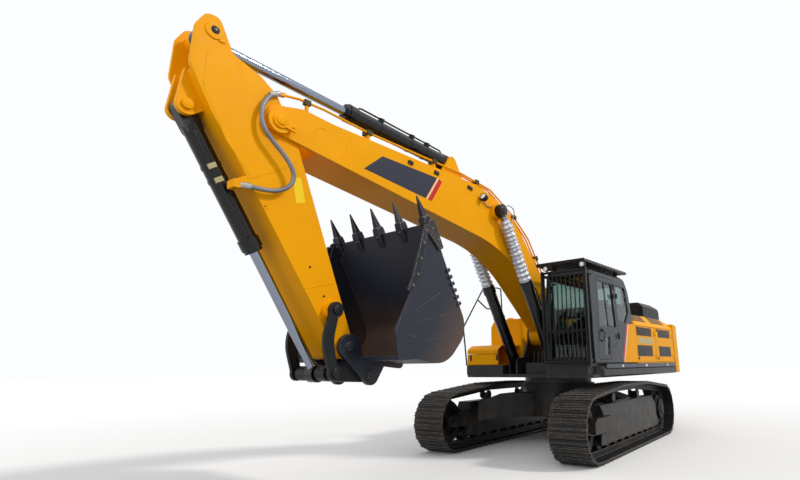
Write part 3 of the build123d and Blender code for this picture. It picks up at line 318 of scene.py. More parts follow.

# %% [markdown]
# ### Bright metal, rubber, cloth and glass
# Chromed rods mirror the sky and carry faint streaks in their finish. The protective sleeves of the boom
# cylinders are silvery coated cloth. Panes are lightly tinted, so the cab's inside stays visible through them. Each
# of these has a short recipe of its own, because paint's drift and worn edges would look wrong on them.

# %% Chrome and zinc
def bright_metal(name, colour, rough, streak=0.06, scale=60.0):
    made = Nodes(bpy.data.materials.new(name))
    marks = made.noise(scale, 4)
    return made.dress(Base_Color=made.mix(marks, colour, scaled(colour, 0.86)), Metallic=1.0,
                      Roughness=made.ranged(marks, 0.3, 0.7, rough, rough + streak),
                      Normal=made.bump(marks, 0.05, 0.001))


# the blue in the rods' base colour is a painted reflection of a blue sky; the grey is the chrome's own
finish["chrome"] = bright_metal("rod_chrome", srgb(140, 148, 164), 0.08, 0.05, 25)
finish["zinc"] = bright_metal("pipe_steel", srgb(176, 176, 174), 0.3, 0.15)
finish["bolt"] = bright_metal("bolt_steel", srgb(120, 116, 110), 0.35, 0.2, 90)
print("metals ready")


# %% Rubber, plastic and cloth
def matte_soft(name, colour, rough, scale, depth, sheen=0.0, lighter=1.35, metal=0.0):
    made = Nodes(bpy.data.materials.new(name))
    grain = made.noise(scale, 3)
    drifting = made.ranged(made.noise(5, 2), 0.3, 0.7)
    return made.dress(Base_Color=made.mix(drifting, colour, scaled(colour, lighter)), Metallic=metal,
                      Roughness=made.ranged(grain, 0.3, 0.7, rough - 0.08, rough + 0.08),
                      Normal=made.bump(grain, 0.4, depth), Sheen_Weight=sheen)


finish["rubber"] = matte_soft("hose_rubber", srgb(104, 106, 108), 0.42, 300, 0.0008, lighter=1.5, metal=0.2)
finish["plastic"] = matte_soft("console_plastic", srgb(58, 60, 66), 0.5, 500, 0.0004)
finish["seat"] = matte_soft("seat_fabric", srgb(40, 42, 46), 0.85, 700, 0.001, sheen=0.3)
finish["sleeve"] = matte_soft("sleeve_cloth", srgb(176, 178, 186), 0.34, 120, 0.0015, sheen=0.1, lighter=1.3,
                              metal=0.55)
print("soft finishes ready")


# %% Glass
def pane(name, colour, rough):
    made = Nodes(bpy.data.materials.new(name))
    film = made.noise(3, 5)
    return made.dress(Base_Color=made.mix(film, colour, scaled(colour, 0.8)), Transmission_Weight=1.0, IOR=1.45,
                      Roughness=made.ranged(film, 0.35, 0.8, rough, rough + 0.06))


finish["glass"] = pane("cab_glass", srgb(166, 188, 182), 0.01)
print(len(finish), "finishes")

# %% [markdown]
# ## Which node gets which finish
# A table from finish to nodes is easier to check than a line for each node. Filling the material slots that the
# nodes already have changes no mesh.

# %% Assign the finishes
dressed = {
    "track": ["left_track", "right_track"],
    "running": ["left_idler", "right_idler", "left_sprocket", "right_sprocket", "left_rollers", "right_rollers"],
    "under": ["car_body", "left_track_frame", "right_track_frame", "slew_ring"],
    "frame": ["main_frame", "control_valve"],
    "cab": ["cab_shell", "cab_door"],
    "glass": ["cab_glass", "cab_door_glass"],
    "guard": ["cab_front_guard", "cab_roof_guard", "cab_lamps", "boom_light", "mirror_rail", "handrails"],
    "seat": ["seat"],
    "plastic": ["console"],
    "yellow": ["engine_housing", "left_front_door", "left_rear_door", "right_service_door", "fuel_tank", "tool_box",
               "tool_box_lid", "boom", "arm", "boom_pipes", "counterweight"],
    "hood": ["engine_hood"],
    "engine": ["engine_block"],
    "cylinder": ["boom_cylinder_tubes", "arm_cylinder_tube", "bucket_cylinder_tube"],
    "chrome": ["boom_cylinder_rods", "arm_cylinder_rod", "bucket_cylinder_rod"],
    "sleeve": ["boom_cylinder_boots"],
    "rubber": ["arm_hoses"],
    "linkage": ["bucket_levers", "bucket_link"],
    "bucket": ["bucket"],
    "tooth": ["bucket_teeth", "side_cutters"],
}
for look, names in dressed.items():
    for name in names:
        piece = nodes[name]
        if not piece.material_slots:
            piece.data.materials.append(None)
        for part in piece.material_slots:
            part.material = finish[look]
print("finished", sum(len(names) for names in dressed.values()), "of", len(nodes), "nodes")

# %% [markdown]
# ## Places on the machine
# Every added piece is placed from the joints of the frame: the pins of the boom, the arm and the bucket give each of
# them a plane of its own, where a point is named by how far it lies along the piece, how far above its line, and how
# far to the side.

# %% Planes of the boom, the arm, the bucket and the cylinders
joint = {one["name"]: one for one in frame["joints"]}


def pin(name):
    return Vector(joint[name]["pos_m"])


def plane_at(origin, angle):
    """A function that turns (along, above, aside) into a point."""
    c, s = cos(angle), sin(angle)

    def at(along, up, aside=0.0):
        return Vector((origin.x + along * c - up * s, aside, origin.z + along * s + up * c))
    return at


def pointing(start, end):
    return atan2(end.z - start.z, end.x - start.x)


boom_at = plane_at(pin("boom_lift"), pointing(pin("boom_lift"), pin("arm_curl")))
arm_at = plane_at(pin("arm_curl"), pointing(pin("arm_curl"), pin("bucket_curl")))
bucket_at = plane_at(pin("bucket_curl"), radians(104.7))
boom_ram_eye = boom_at(2.836, 1.305)
boom_ram_at = plane_at(pin("boom_cylinder_tilt"), pointing(pin("boom_cylinder_tilt"), boom_ram_eye))
arm_ram_at = plane_at(pin("arm_cylinder_tilt"), pointing(pin("arm_cylinder_tilt"), arm_at(-1.048, 0.396)))
bucket_ram_at = plane_at(pin("bucket_cylinder_tilt"), pointing(pin("bucket_cylinder_tilt"), arm_at(3.002, 0.343)))
slewing_axis = pin("swing").x
print("planes ready, slewing axis at", round(slewing_axis, 3))


# %% [markdown]
# ## Making pieces
# Three ways of making solid shapes cover most of the small parts: a plate cut from an outline, a turned piece made
# from rows of distance and radius, and a pipe along a curve. Each piece gets its edges rounded and rides on a body.

# %% Plates, turned pieces and pipes
both_sides = ((1, "left"), (-1, "right"))


def add_plate(shape, near, step):
    """A closed plate from the corners of one face and the step to the other."""
    low = [shape.verts.new(corner) for corner in near]
    high = [shape.verts.new(corner + step) for corner in near]
    shape.faces.new(low)
    shape.faces.new(high[::-1])
    for here, after in zip(range(len(low)), list(range(1, len(low))) + [0]):
        shape.faces.new((low[after], low[here], high[here], high[after]))


def join_rings(shape, rings, closed=False):
    """Faces between rings of points: with a cap at both ends, or closed into a loop."""
    for low, high in zip(rings, rings[1:] + (rings[:1] if closed else [])):
        for here in range(len(low)):
            after = (here + 1) % len(low)
            shape.faces.new((low[here], low[after], high[after], high[here]))
    if not closed:
        shape.faces.new(rings[0][::-1])
        shape.faces.new(rings[-1])


def on_circle(centre, first, second, radius, turn):
    """The point of a circle at an angle, in the plane of two directions."""
    return centre + (first * cos(turn) + second * sin(turn)) * radius


def add_turned(shape, centre, axis, rows, sides=24, ring=False):
    """A turned piece from rows of (distance along the axis, radius): closed at both ends, or an open ring."""
    axis = Vector(axis).normalized()
    first = axis.orthogonal().normalized()
    second = axis.cross(first)
    rings = []
    for along, radius in rows:
        rings.append([shape.verts.new(on_circle(centre + axis * along, first, second, radius, 2 * pi * i / sides))
                      for i in range(sides)])
    join_rings(shape, rings, closed=ring)


def rectangle(left, right, bottom, top):
    """Its four corners, in order."""
    return (left, bottom), (right, bottom), (right, top), (left, top)


def add_block(shape, low, high):
    """A block between two corners, as a plate along Z."""
    add_plate(shape, [Vector((x, y, low[2])) for x, y in rectangle(low[0], high[0], low[1], high[1])],
              Vector((0, 0, high[2] - low[2])))


def add_bolt(shape, centre, axis, size):
    """A hexagon head on a round washer."""
    add_turned(shape, centre, axis, [(-0.002, size * 0.75), (size * 0.12, size * 0.75)], 16)
    add_turned(shape, centre, axis, [(size * along, size * radius) for along, radius in
                                     ((0.1, 0.55), (0.5, 0.55), (0.58, 0.42))], 6)


def settle(shape, name, body, look, bevel=0.003, sharp=35):
    """Turns a finished shape into a piece that rides on a body, or on none if no body is given."""
    bmesh.ops.recalc_face_normals(shape, faces=shape.faces)
    mesh = bpy.data.meshes.new(name)
    shape.to_mesh(mesh)
    shape.free()
    mesh.shade_smooth()
    mesh.set_sharp_from_angle(angle=radians(sharp))
    mesh.materials.append(finish[look])
    piece = bpy.data.objects.new(name, mesh)
    add_to_scene(piece)
    if bevel:
        rounding = piece.modifiers.new("rounded_edges", "BEVEL")
        rounding.width = bevel
        rounding.segments = 2
        rounding.limit_method = "ANGLE"
        rounding.angle_limit = radians(40)
    if body:
        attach(piece, body)
    return piece


def smooth_line(points, name):
    """The points of a smooth curve that is led by a few of them."""
    curve = bpy.data.curves.new(name, "CURVE")
    curve.dimensions = "3D"
    line = curve.splines.new("NURBS")
    line.points.add(len(points) - 1)
    for spot, point in zip(line.points, points):
        spot.co = (*point, 1)
    line.order_u = 3
    line.use_endpoint_u = True
    line.resolution_u = 8
    led = bpy.data.objects.new(name, curve)
    add_to_scene(led)
    drawn = bpy.data.meshes.new_from_object(led)
    read = [vertex.co.copy() for vertex in drawn.vertices]
    bpy.data.objects.remove(led)
    bpy.data.meshes.remove(drawn)
    return read


def add_pipe(shape, line, radius, sides=12):
    """A round tube that follows the line."""
    rings = []
    side = (line[1] - line[0]).orthogonal().normalized()
    for i, point in enumerate(line):
        towards = (line[min(i + 1, len(line) - 1)] - line[max(i - 1, 0)]).normalized()
        side = (side - towards * side.dot(towards)).normalized()
        rings.append([shape.verts.new(on_circle(point, side, towards.cross(side), radius, 2 * pi * k / sides))
                      for k in range(sides)])
    join_rings(shape, rings)


print("three ways of making ready")

# %% [markdown]
# ## The hose over the arm's pin
# One thick hose carries oil from the pipes on the boom to the arm. It hangs in a loose S, because the arm has to
# swing, and it ends in ribbed steel fittings. A hose could be simulated, but its two ends are known and it is stiff,
# so a curve led by a few points gives its shape at once.

# %% Hose
hose_route = [(-0.334, -0.135, 0.301), (-0.33, -0.06, 0.305), (-0.28, 0.05, 0.314), (-0.18, 0.165, 0.334),
              (-0.015, 0.24, 0.352), (0.13, 0.232, 0.364), (0.27, 0.172, 0.372), (0.4, 0.108, 0.377),
              (0.53, 0.062, 0.378), (0.655, 0.052, 0.374), (0.755, 0.12, 0.366), (0.797, 0.25, 0.354),
              (0.78, 0.385, 0.342), (0.728, 0.52, 0.328), (0.668, 0.64, 0.312), (0.64, 0.716, 0.298)]
hose_points = [arm_at(along, up, aside) for along, up, aside in hose_route]
hose_line = smooth_line(hose_points, "hose_line")
hose_length = sum((b - a).length for a, b in zip(hose_line, hose_line[1:]))
shape = bmesh.new()
add_pipe(shape, hose_line, 0.027, 20)
hose = settle(shape, "arm_hose", None, "rubber", bevel=0)
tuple(hose_line[0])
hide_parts("arm_hoses")
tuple(hose_points[0])
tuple(hose_points[-1])
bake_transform(hose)
print("hose", round(hose_length, 3), "m")

# %% Hose fittings
ribs, rib_pitch = 6, 0.02
for label, end, inside, body in (("start", 0, 1, "boom"), ("end", -1, -2, "arm")):
    rows = [(-0.012, 0.029), (-0.004, 0.0335), (0.012, 0.0335), (0.016, 0.03)]
    for rib in range(1, ribs + 1):
        foot = rib * rib_pitch
        rows += [(foot, 0.033), (foot + 0.012, 0.033), (foot + 0.015, 0.0295)]
    shape = bmesh.new()
    add_turned(shape, hose_line[end], hose_line[inside] - hose_line[end], rows, 24)
    settle(shape, "hose_fitting_" + label, body, "zinc", bevel=0.001)
print(2 * ribs, "ribs on two fittings")

# %% [markdown]
# ## Bellows on the boom cylinders
# Silvery pleated sleeves keep dust off the boom cylinders' rods. Each fold is a little different, and they tighten
# towards the rod's eye. The folds are drawn as rings whose radius swells and shrinks. That is quicker than a cloth
# simulation, and small random leans and waves keep the rings from looking machined.

# %% Bellows
ram_aside = 0.444
ram_length = (boom_ram_eye - pin("boom_cylinder_tilt")).length
sleeve_start, sleeve_end = 1.7726, ram_length - 0.185
folds, fold_steps, points_round = 15, 8, 48
ram_along = (boom_ram_at(1, 0) - boom_ram_at(0, 0)).normalized()
ram_up = (boom_ram_at(0, 1) - boom_ram_at(0, 0)).normalized()
rng = random.Random(7)


def fold_stations():
    """Rows of (share of the length, how near a fold's crest, lean of the fold)."""
    lean = [rng.uniform(-0.006, 0.006) for _ in range(folds + 1)]
    width = [rng.uniform(0.75, 1.3) for _ in range(folds)]
    rows, run = [], 0.0
    for fold in range(folds):
        for step in range(fold_steps):
            crest = 0.5 - 0.5 * cos(2 * pi * step / fold_steps)
            rows.append(((run + width[fold] * step / fold_steps) / sum(width), crest ** 1.3, lean[fold]))
        run += width[fold]
    return rows + [(1.0, 0.0, 0.0)]


shape = bmesh.new()
for side in (1, -1):
    rings = []
    for share, crest, lean in fold_stations():
        loose = min(1.0, (1 - share) / 0.12)
        radius = 0.074 + 0.022 * loose + crest * (0.014 + 0.014 * loose)
        if share < 0.03:
            radius = 0.108      # the cuff over the cylinder's head
        centre = boom_ram_at(sleeve_start + (sleeve_end - sleeve_start) * share, 0, side * ram_aside)
        ring = []
        for k in range(points_round):
            turn = 2 * pi * k / points_round
            wave = 0.0022 * sin(3 * turn + lean * 900) + 0.0012 * sin(7 * turn + share * 40)
            slope = lean * cos(turn + lean * 300) * min(share * 12, (1 - share) * 12, 1)
            ring.append(shape.verts.new(on_circle(centre + ram_along * slope, ram_up, Vector((0, 1, 0)),
                                                  radius + wave * min(share * 20, 1), turn)))
        rings.append(ring)
    join_rings(shape, rings)
bellows = settle(shape, "boom_cylinder_bellows", None, "sleeve", bevel=0, sharp=70)
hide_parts("boom_cylinder_boots")
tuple(boom_ram_at(sleeve_start, 0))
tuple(boom_ram_at(sleeve_end, 0))
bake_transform(bellows)
print(folds, "folds over", round(sleeve_end - sleeve_start, 2), "m")

# %% [markdown]
# ## The boom's sides
# A dark band with a white line and a red stripe runs up each side of the boom. Such bands could be painted with a
# mask in the material, but thin plates keep their edges crisp from near by. Beside them lie the small things that
# make a welded boom look real: weld beads, brackets, and pin caps with their locking bars.

# %% Bands and weld beads on the boom
boom_face = 0.31           # from the machine's middle to the boom's side
for side, label in both_sides:
    for name, look, corners in (
            ("band", "band", [(5.51, 0.612), (5.725, 0.238), (4.53, 0.52), (4.415, 0.989)]),
            ("line", "white", [(4.398, 0.996), (4.513, 0.524), (4.493, 0.528), (4.378, 1.002)]),
            ("stripe", "red", [(4.366, 1.005), (4.481, 0.531), (4.395, 0.551), (4.29, 0.99)])):
        shape = bmesh.new()
        add_plate(shape, [boom_at(a, b, side * (boom_face + 0.0003)) for a, b in corners],
                  Vector((0, side * 0.0012, 0)))
        settle(shape, "boom_" + name + "_" + label, "boom", look, bevel=0)
    shape = bmesh.new()
    for path in ([(6.562, 0.12), (6.562, 0.281), (6.515, 0.32), (6.431, 0.35)],
                 [(2.3, 0.86), (2.33, 1.1), (2.3, 1.38)], [(6.08, 0.14), (6.09, 0.3), (6.08, 0.52)]):
        bead = smooth_line([boom_at(a, b, side * (boom_face - 0.0005)) for a, b in path], "bead")
        add_pipe(shape, bead, 0.005, 8)
    settle(shape, "boom_welds_" + label, "boom", "yellow", bevel=0)
print("bands and welds on both sides")

# %% Pin caps, locks and brackets on the boom
for side, label in both_sides:
    out = Vector((0, side, 0))
    shape = bmesh.new()
    add_turned(shape, boom_at(7.01, 0, side * 0.388), out,
               [(-0.002, 0.068), (0.008, 0.068), (0.014, 0.06), (0.016, 0.02)], 32)
    settle(shape, "nose_pin_cap_" + label, "boom", "yellow", bevel=0.002)
    shape = bmesh.new()
    add_plate(shape, [boom_at(a, b, side * 0.366) for a, b in
                      ((6.8, -0.03), (6.955, -0.055), (6.955, 0.04), (6.82, 0.06))], out * 0.024)
    add_bolt(shape, boom_at(6.852, 0.01, side * 0.39), out, 0.026)
    settle(shape, "nose_pin_lock_" + label, "boom", "yellow", bevel=0.003)
    shape = bmesh.new()
    for centre, wide in ((boom_at(2.836, 1.305, side * 0.505), 0.08), (boom_at(0, 0, side * 0.352), 0.105)):
        add_turned(shape, centre, out, [(-0.03, wide), (0.006, wide), (0.012, wide * 0.9), (0.014, wide * 0.3)], 32)
        for k in range(4):
            turn = pi / 4 + k * pi / 2
            add_bolt(shape, centre + Vector((cos(turn), 0, sin(turn))) * wide * 0.62 + out * 0.012, out, 0.014)
    settle(shape, "boom_pin_caps_" + label, "boom", "guard", bevel=0.002)
    shape = bmesh.new()
    for a, b, wide in ((5.009, 0.865, 0.05), (4.459, 1.062, 0.05), (3.634, 1.319, 0.06)):
        add_plate(shape, [boom_at(a + x, b + z, side * (boom_face - 0.0005)) for x, z in
                          ((-wide, 0.035), (wide, 0.015), (wide, -0.045), (-wide, -0.025))], out * 0.022)
        add_bolt(shape, boom_at(a, b, side * 0.331), out, 0.014)
    settle(shape, "boom_brackets_" + label, "boom", "guard", bevel=0.002)
print("pins and brackets on both sides")

# %% [markdown]
# ## Clamps and lamps
# Dark clamps hold the steel pipes along the boom's back. Each is a block a little larger than the CAD's own clamp,
# so that it covers it: two faces in the very same place would show in patches. The work lamps get pale lenses.

# %% Clamps round the boom's pipes
clamp_half = (0.044, 0.035)
clamp_outer = 0.324
shape = bmesh.new()
for a, b, lean, inner in ((6.79, 0.5, -21, 0.267), (5.834, 0.786, -17, 0.203), (4.553, 1.223, -19, 0.203),
                          (3.48, 1.55, -14, 0.203), (2.226, 1.56, 10, 0.203), (1.278, 1.145, 33, 0.203)):
    c, s = cos(radians(lean)), sin(radians(lean))
    for side in (1, -1):
        corners = [boom_at(a + x * c - z * s, b + x * s + z * c, side * inner) for x, z in
                   rectangle(-clamp_half[0], clamp_half[0], -clamp_half[1], clamp_half[1])]
        add_plate(shape, corners, Vector((0, side * (clamp_outer - inner), 0)))
        add_bolt(shape, boom_at(a - 0.034 * s, b + 0.034 * c, side * (0.263 if inner < 0.26 else 0.294)),
                 boom_at(-s, c) - boom_at(0, 0), 0.012)
settle(shape, "boom_pipe_clamps", "boom", "olive", bevel=0.003)
print("six clamps on each side")

# %% Lamp lenses, and cables by the boom's lamp
shape = bmesh.new()
add_turned(shape, boom_at(3.343, 1.31, 0.395), boom_at(1, 0) - boom_at(0, 0),
           [(0.0, 0.052), (0.006, 0.052), (0.012, 0.04), (0.014, 0.01)], 28)
settle(shape, "boom_lamp_lens", "boom", "lamp", bevel=0)
lamp_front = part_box("cab_lamps")[1][0]
shape = bmesh.new()
for y in (0.817, 1.56):
    add_turned(shape, Vector((lamp_front - 0.013, y, 3.296)), (1, 0, 0),
               [(0.0, 0.044), (0.005, 0.044), (0.01, 0.034), (0.012, 0.008)], 28)
settle(shape, "cab_lamp_lenses", "upper", "lamp", bevel=0)
shape = bmesh.new()
for run in ([(2.686, 1.44), (2.56, 1.64), (2.402, 1.69), (2.279, 1.64), (2.3, 1.5), (2.361, 1.34)],
            [(3.24, 1.29), (3.12, 1.24), (2.98, 1.33), (2.88, 1.39)]):
    add_pipe(shape, smooth_line([boom_at(a, b, 0.33) for a, b in run], "cable"), 0.009, 8)
settle(shape, "boom_cables", "boom", "rubber", bevel=0)
print("three lamps have lenses")

# %% [markdown]
# ## The arm
# Each side of the arm carries a thicker plate round its pins. Its edge shows as a low step. The pins end in caps held
# by small bars with a bolt. All of these are modelled: a painted-on edge would catch no light as the arm turns.

# %% Doubler plates and bosses on the arm
arm_face = 0.2615           # from the machine's middle to the arm's side
arm_eye = (-1.048, 0.396)
doubler = [(0.6, 0.52), (0.142, 0.672), (-0.235, 0.7), (-0.448, 0.722), (-0.577, 0.666), (-0.722, 0.603),
           (-0.826, 0.54), (-0.875, 0.465), (-0.865, 0.392), (-0.811, 0.327), (-0.668, 0.172), (-0.565, 0.045),
           (-0.42, -0.06), (-0.25, -0.12), (0.18, -0.18), (0.48, -0.12), (0.56, 0.15)]
for side, label in both_sides:
    out = Vector((0, side, 0))
    shape = bmesh.new()
    add_plate(shape, [arm_at(a, b, side * (arm_face + 0.0002)) for a, b in doubler], out * 0.0023)
    settle(shape, "arm_side_plate_" + label, "arm", "yellow", bevel=0.0015)
    shape = bmesh.new()
    add_pipe(shape, [arm_at(a, b, side * (arm_face - 0.0003)) for a, b in
                     ((1.939, 0.32), (1.968, 0.24), (2.001, -0.01), (2.02, -0.11))], 0.005, 8)
    settle(shape, "arm_welds_" + label, "arm", "yellow", bevel=0)
    shape = bmesh.new()
    add_turned(shape, arm_at(*arm_eye, side * arm_face), out,
               [(-0.01, 0.105), (0.01, 0.105), (0.016, 0.098), (0.017, 0.06)], 36)
    add_turned(shape, arm_at(-0.286, 0.878, side * 0.148), out, [(-0.005, 0.06), (0.012, 0.06), (0.016, 0.05)], 28)
    settle(shape, "arm_pin_bosses_" + label, "arm", "yellow", bevel=0.002)
print("arm plates on both sides")

# %% Caps, locks and small plates on the arm
hose_brackets = ((0.8, 0.3), (0.925, 0.47))
for side, label in both_sides:
    out = Vector((0, side, 0))
    shape = bmesh.new()
    add_turned(shape, arm_at(*arm_eye, side * (arm_face + 0.016)), out,
               [(0.0, 0.046), (0.004, 0.046), (0.008, 0.036)], 28)
    for a, b in ((-0.935, 0.345),) + hose_brackets:
        add_bolt(shape, arm_at(a, b, side * (arm_face + 0.003)), out, 0.016)
    for a, b in ((1.735, 0.149), (2.126, 0.087)):
        add_turned(shape, arm_at(a, b, side * arm_face), out, [(0, 0.012), (0.012, 0.012), (0.014, 0.008)], 12)
    for centre, wide in ((arm_at(2.318, 0.059, side * 0.387), 0.048), (arm_at(2.814, 0, side * 0.3), 0.05)):
        add_turned(shape, centre, out, [(-0.01, wide), (0.004, wide), (0.01, wide * 0.7)], 24)
    settle(shape, "arm_caps_" + label, "arm", "guard", bevel=0.001)
    for name, look, near, thick, bevel, corners in (
            ("pin_lock", "yellow", 0.003, 0.01, 0.002,
             ((-0.99, 0.3), (-0.905, 0.325), (-0.925, 0.385), (-1.01, 0.362))),
            ("blank_plate", "blank", 0.0004, 0.0015, 0.0004,
             ((0.664, 0.0), (0.68, -0.11), (0.985, -0.062), (0.97, 0.065)))):
        shape = bmesh.new()
        add_plate(shape, [arm_at(a, b, side * (arm_face + near)) for a, b in corners], out * thick)
        settle(shape, "arm_" + name + "_" + label, "arm", look, bevel=bevel)
    shape = bmesh.new()
    for a, b in hose_brackets:
        add_plate(shape, [arm_at(a + x, b + z, side * arm_face) for x, z in
                          ((-0.035, 0.03), (0.035, 0.022), (0.035, -0.034), (-0.035, -0.026))], out * 0.006)
    settle(shape, "arm_hose_brackets_" + label, "arm", "yellow", bevel=0.002)
print("arm dressed")

# %% [markdown]
# ## Cylinders
# Each cylinder has a ring of bolts round its head, a steel pipe that brings oil to its far end, and clamps that hold
# the pipe against the tube. The rods' eyes are black. One function dresses all four cylinders, because they differ
# only in size; it works in each cylinder's own plane. Bands are open rings: a solid disc would cut the rod inside.

# %% Pipes, clamps and bolt rings
def dress_cylinder(name, body, at, tube_radius, tube_length, aside, pipe_turn, clamp_look, clamps):
    """Adds the fittings of one cylinder, whose axis runs along `at`, this far to the side."""
    forward = (at(1, 0) - at(0, 0)).normalized()
    up = (at(0, 1) - at(0, 0)).normalized()
    across = Vector((0, 1, 0))

    def round_it(along, radius, turn=pipe_turn):
        return on_circle(at(along, 0, aside), up, across, radius, turn)
    shape = bmesh.new()
    for k in range(10):
        add_bolt(shape, round_it(tube_length - 0.041, tube_radius + 0.003, 2 * pi * (k + 0.5) / 10), forward, 0.014)
    settle(shape, name + "_head_bolts", body, "bolt", bevel=0)
    lifted = tube_radius + 0.03
    line = [round_it(0.25, tube_radius - 0.01), round_it(0.262, lifted), round_it(0.36, lifted),
            round_it(tube_length * 0.5, lifted), round_it(tube_length - 0.3, lifted),
            round_it(tube_length - 0.2, lifted), round_it(tube_length - 0.188, tube_radius)]
    shape = bmesh.new()
    add_pipe(shape, smooth_line(line, "oil_pipe"), 0.014, 12)
    settle(shape, name + "_pipe", body, "cylinder", bevel=0)
    shape = bmesh.new()
    sunk, proud, wide = tube_radius - 0.002, tube_radius + 0.007, 0.044
    for along in clamps:
        add_turned(shape, at(along - wide / 2, 0, aside), forward,
                   [(0, sunk), (0, proud), (wide, proud), (wide, sunk)], 40, ring=True)
    settle(shape, name + "_bands", body, "cylinder", bevel=0.001)
    shape = bmesh.new()
    sideways = up * -sin(pipe_turn) + across * cos(pipe_turn)
    out = up * cos(pipe_turn) + across * sin(pipe_turn)
    for along in clamps:
        centre = round_it(along, lifted - 0.004)
        add_plate(shape, [centre + sideways * a + out * b - forward * 0.024 for a, b in
                          ((-0.044, -0.026), (0.044, -0.026), (0.04, 0.026), (-0.04, 0.026))], forward * 0.056)
        add_bolt(shape, centre + out * 0.022, out, 0.012)
    settle(shape, name + "_clamps", body, clamp_look, bevel=0.003)


dress_cylinder("bucket_cylinder", "bucket_cylinder_tube", bucket_ram_at, 0.102, 1.694, 0, 1.15, "cream", (0.66, 0.82))
dress_cylinder("arm_cylinder", "arm_cylinder_tube", arm_ram_at, 0.118, 2.23, 0, 0.5, "cylinder", (0.6, 0.95, 1.6))
for side, label in both_sides:
    dress_cylinder("boom_cylinder_" + label, "boom_cylinder_tubes", boom_ram_at, 0.112, 1.772, side * ram_aside,
                   0.7 * side, "cylinder", (0.55, 1.05))
print("four cylinders dressed")


# %% Covers of the rods' eyes
def add_eye_cover(name, body, centre, radius, half):
    """A dark shell round a rod's eye."""
    shape = bmesh.new()
    near, far = (0, radius), (2 * half, radius)
    add_turned(shape, centre - Vector((0, half, 0)), (0, 1, 0),
               [(0, radius * 0.4), near, (0.004, radius + 0.004), (2 * half - 0.004, radius + 0.004), far,
                (2 * half, radius * 0.4)], 40)
    settle(shape, name, body, "cylinder", bevel=0.001)


add_eye_cover("arm_rod_eye", "arm_cylinder_rod", arm_at(*arm_eye), 0.124, 0.0712)
add_eye_cover("bucket_rod_eye", "bucket_cylinder_rod", arm_at(3.002, 0.343), 0.1055, 0.0712)
for side, label in both_sides:
    add_eye_cover("boom_rod_eye_" + label, "boom_cylinder_rods", boom_ram_eye + Vector((0, side * ram_aside, 0)),
                  0.1165, 0.061)
print("eyes covered")

# %% [markdown]
# ## The bucket and its levers
# Wear shows most here. Bolts hold the side cutters and the teeth, blocks protect the heel's corners, and weld beads
# run along the plates. Bolt heads are real six-sided shapes, since the bucket is what the eye rests on.

# %% Bolts, wear blocks and welds of the bucket
cutter_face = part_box("side_cutters")[1][1]
lean_cos, lean_sin = 0.73, 0.684       # how the heel's blocks are turned
for side, label in both_sides:
    out = Vector((0, side, 0))
    shape = bmesh.new()
    for a, b in ((0.8, 0.17), (0.96, 0.206), (1.18, 0.206), (1.4, 0.2), (1.58, 0.196), (1.66, 0.3),
                 (1.56, 0.45)):
        add_bolt(shape, bucket_at(a, b, side * cutter_face), out, 0.026)
    settle(shape, "side_cutter_bolts_" + label, "bucket", "bolt", bevel=0)
    shape = bmesh.new()
    for k in range(6):
        a, b = 1.256 - 0.072 * k, 0.773 + 0.0674 * k
        add_plate(shape, [bucket_at(a + x * lean_cos - z * lean_sin, b - x * lean_sin - z * lean_cos, side * 0.97)
                          for x, z in ((-0.026, 0.05), (0.026, 0.05), (0.022, -0.022), (-0.022, -0.022))],
                  out * 0.062)
    settle(shape, "bucket_wear_blocks_" + label, "bucket", "bucket", bevel=0.004)
    shape = bmesh.new()
    for path in ([(0.5, 0.3), (0.9, 0.7), (1.25, 0.42)], [(0.42, 0.42), (0.7, 0.98), (1.05, 0.9)],
                 [(0.2, 0.3), (0.25, 0.7), (0.48, 1.08)]):
        for start, end in zip(path, path[1:]):
            add_pipe(shape, [bucket_at(*start, side * 1.0095), bucket_at(*end, side * 1.0095)], 0.0045, 8)
    settle(shape, "bucket_side_welds_" + label, "bucket", "bucket", bevel=0)
print("bucket's sides dressed")

# %% Tooth bolts, and caps on the levers' pins
shape = bmesh.new()
for tooth in range(5):
    for a, b in ((1.69, 0.262), (1.8, 0.232)):
        add_turned(shape, bucket_at(a, b, -0.914 + tooth * 0.457), bucket_at(0, -1) - bucket_at(0, 0),
                   [(-0.004, 0.017), (0.01, 0.017), (0.016, 0.011)], 14)
settle(shape, "tooth_bolts", "bucket", "bolt", bevel=0)
lever_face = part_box("bucket_levers")[1][1]
cap_radius = 0.056
shape = bmesh.new()
for side in (1, -1):
    for a, b in ((2.318, 0.059), (3.002, 0.343)):
        add_turned(shape, arm_at(a, b, side * lever_face), Vector((0, side, 0)),
                   [(-0.01, cap_radius), (0.006, cap_radius), (0.012, cap_radius * 0.8), (0.013, 0.01)], 28)
settle(shape, "lever_pin_caps", "bucket_levers", "linkage", bevel=0.001)
print("bucket dressed")

# %% [markdown]
# ## Seat
# The driver's seat is soft: a crowned cushion, a back with raised bolsters and a headrest, each with its sewn seams,
# on a steel base. They start as coarse shapes and are rounded by subdivision. A cloth simulation would give finer
# creases, at the cost of much more time.

# %% A helper for cushions
seat_low, seat_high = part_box("seat")
seat_middle = (seat_low[1] + seat_high[1]) / 2


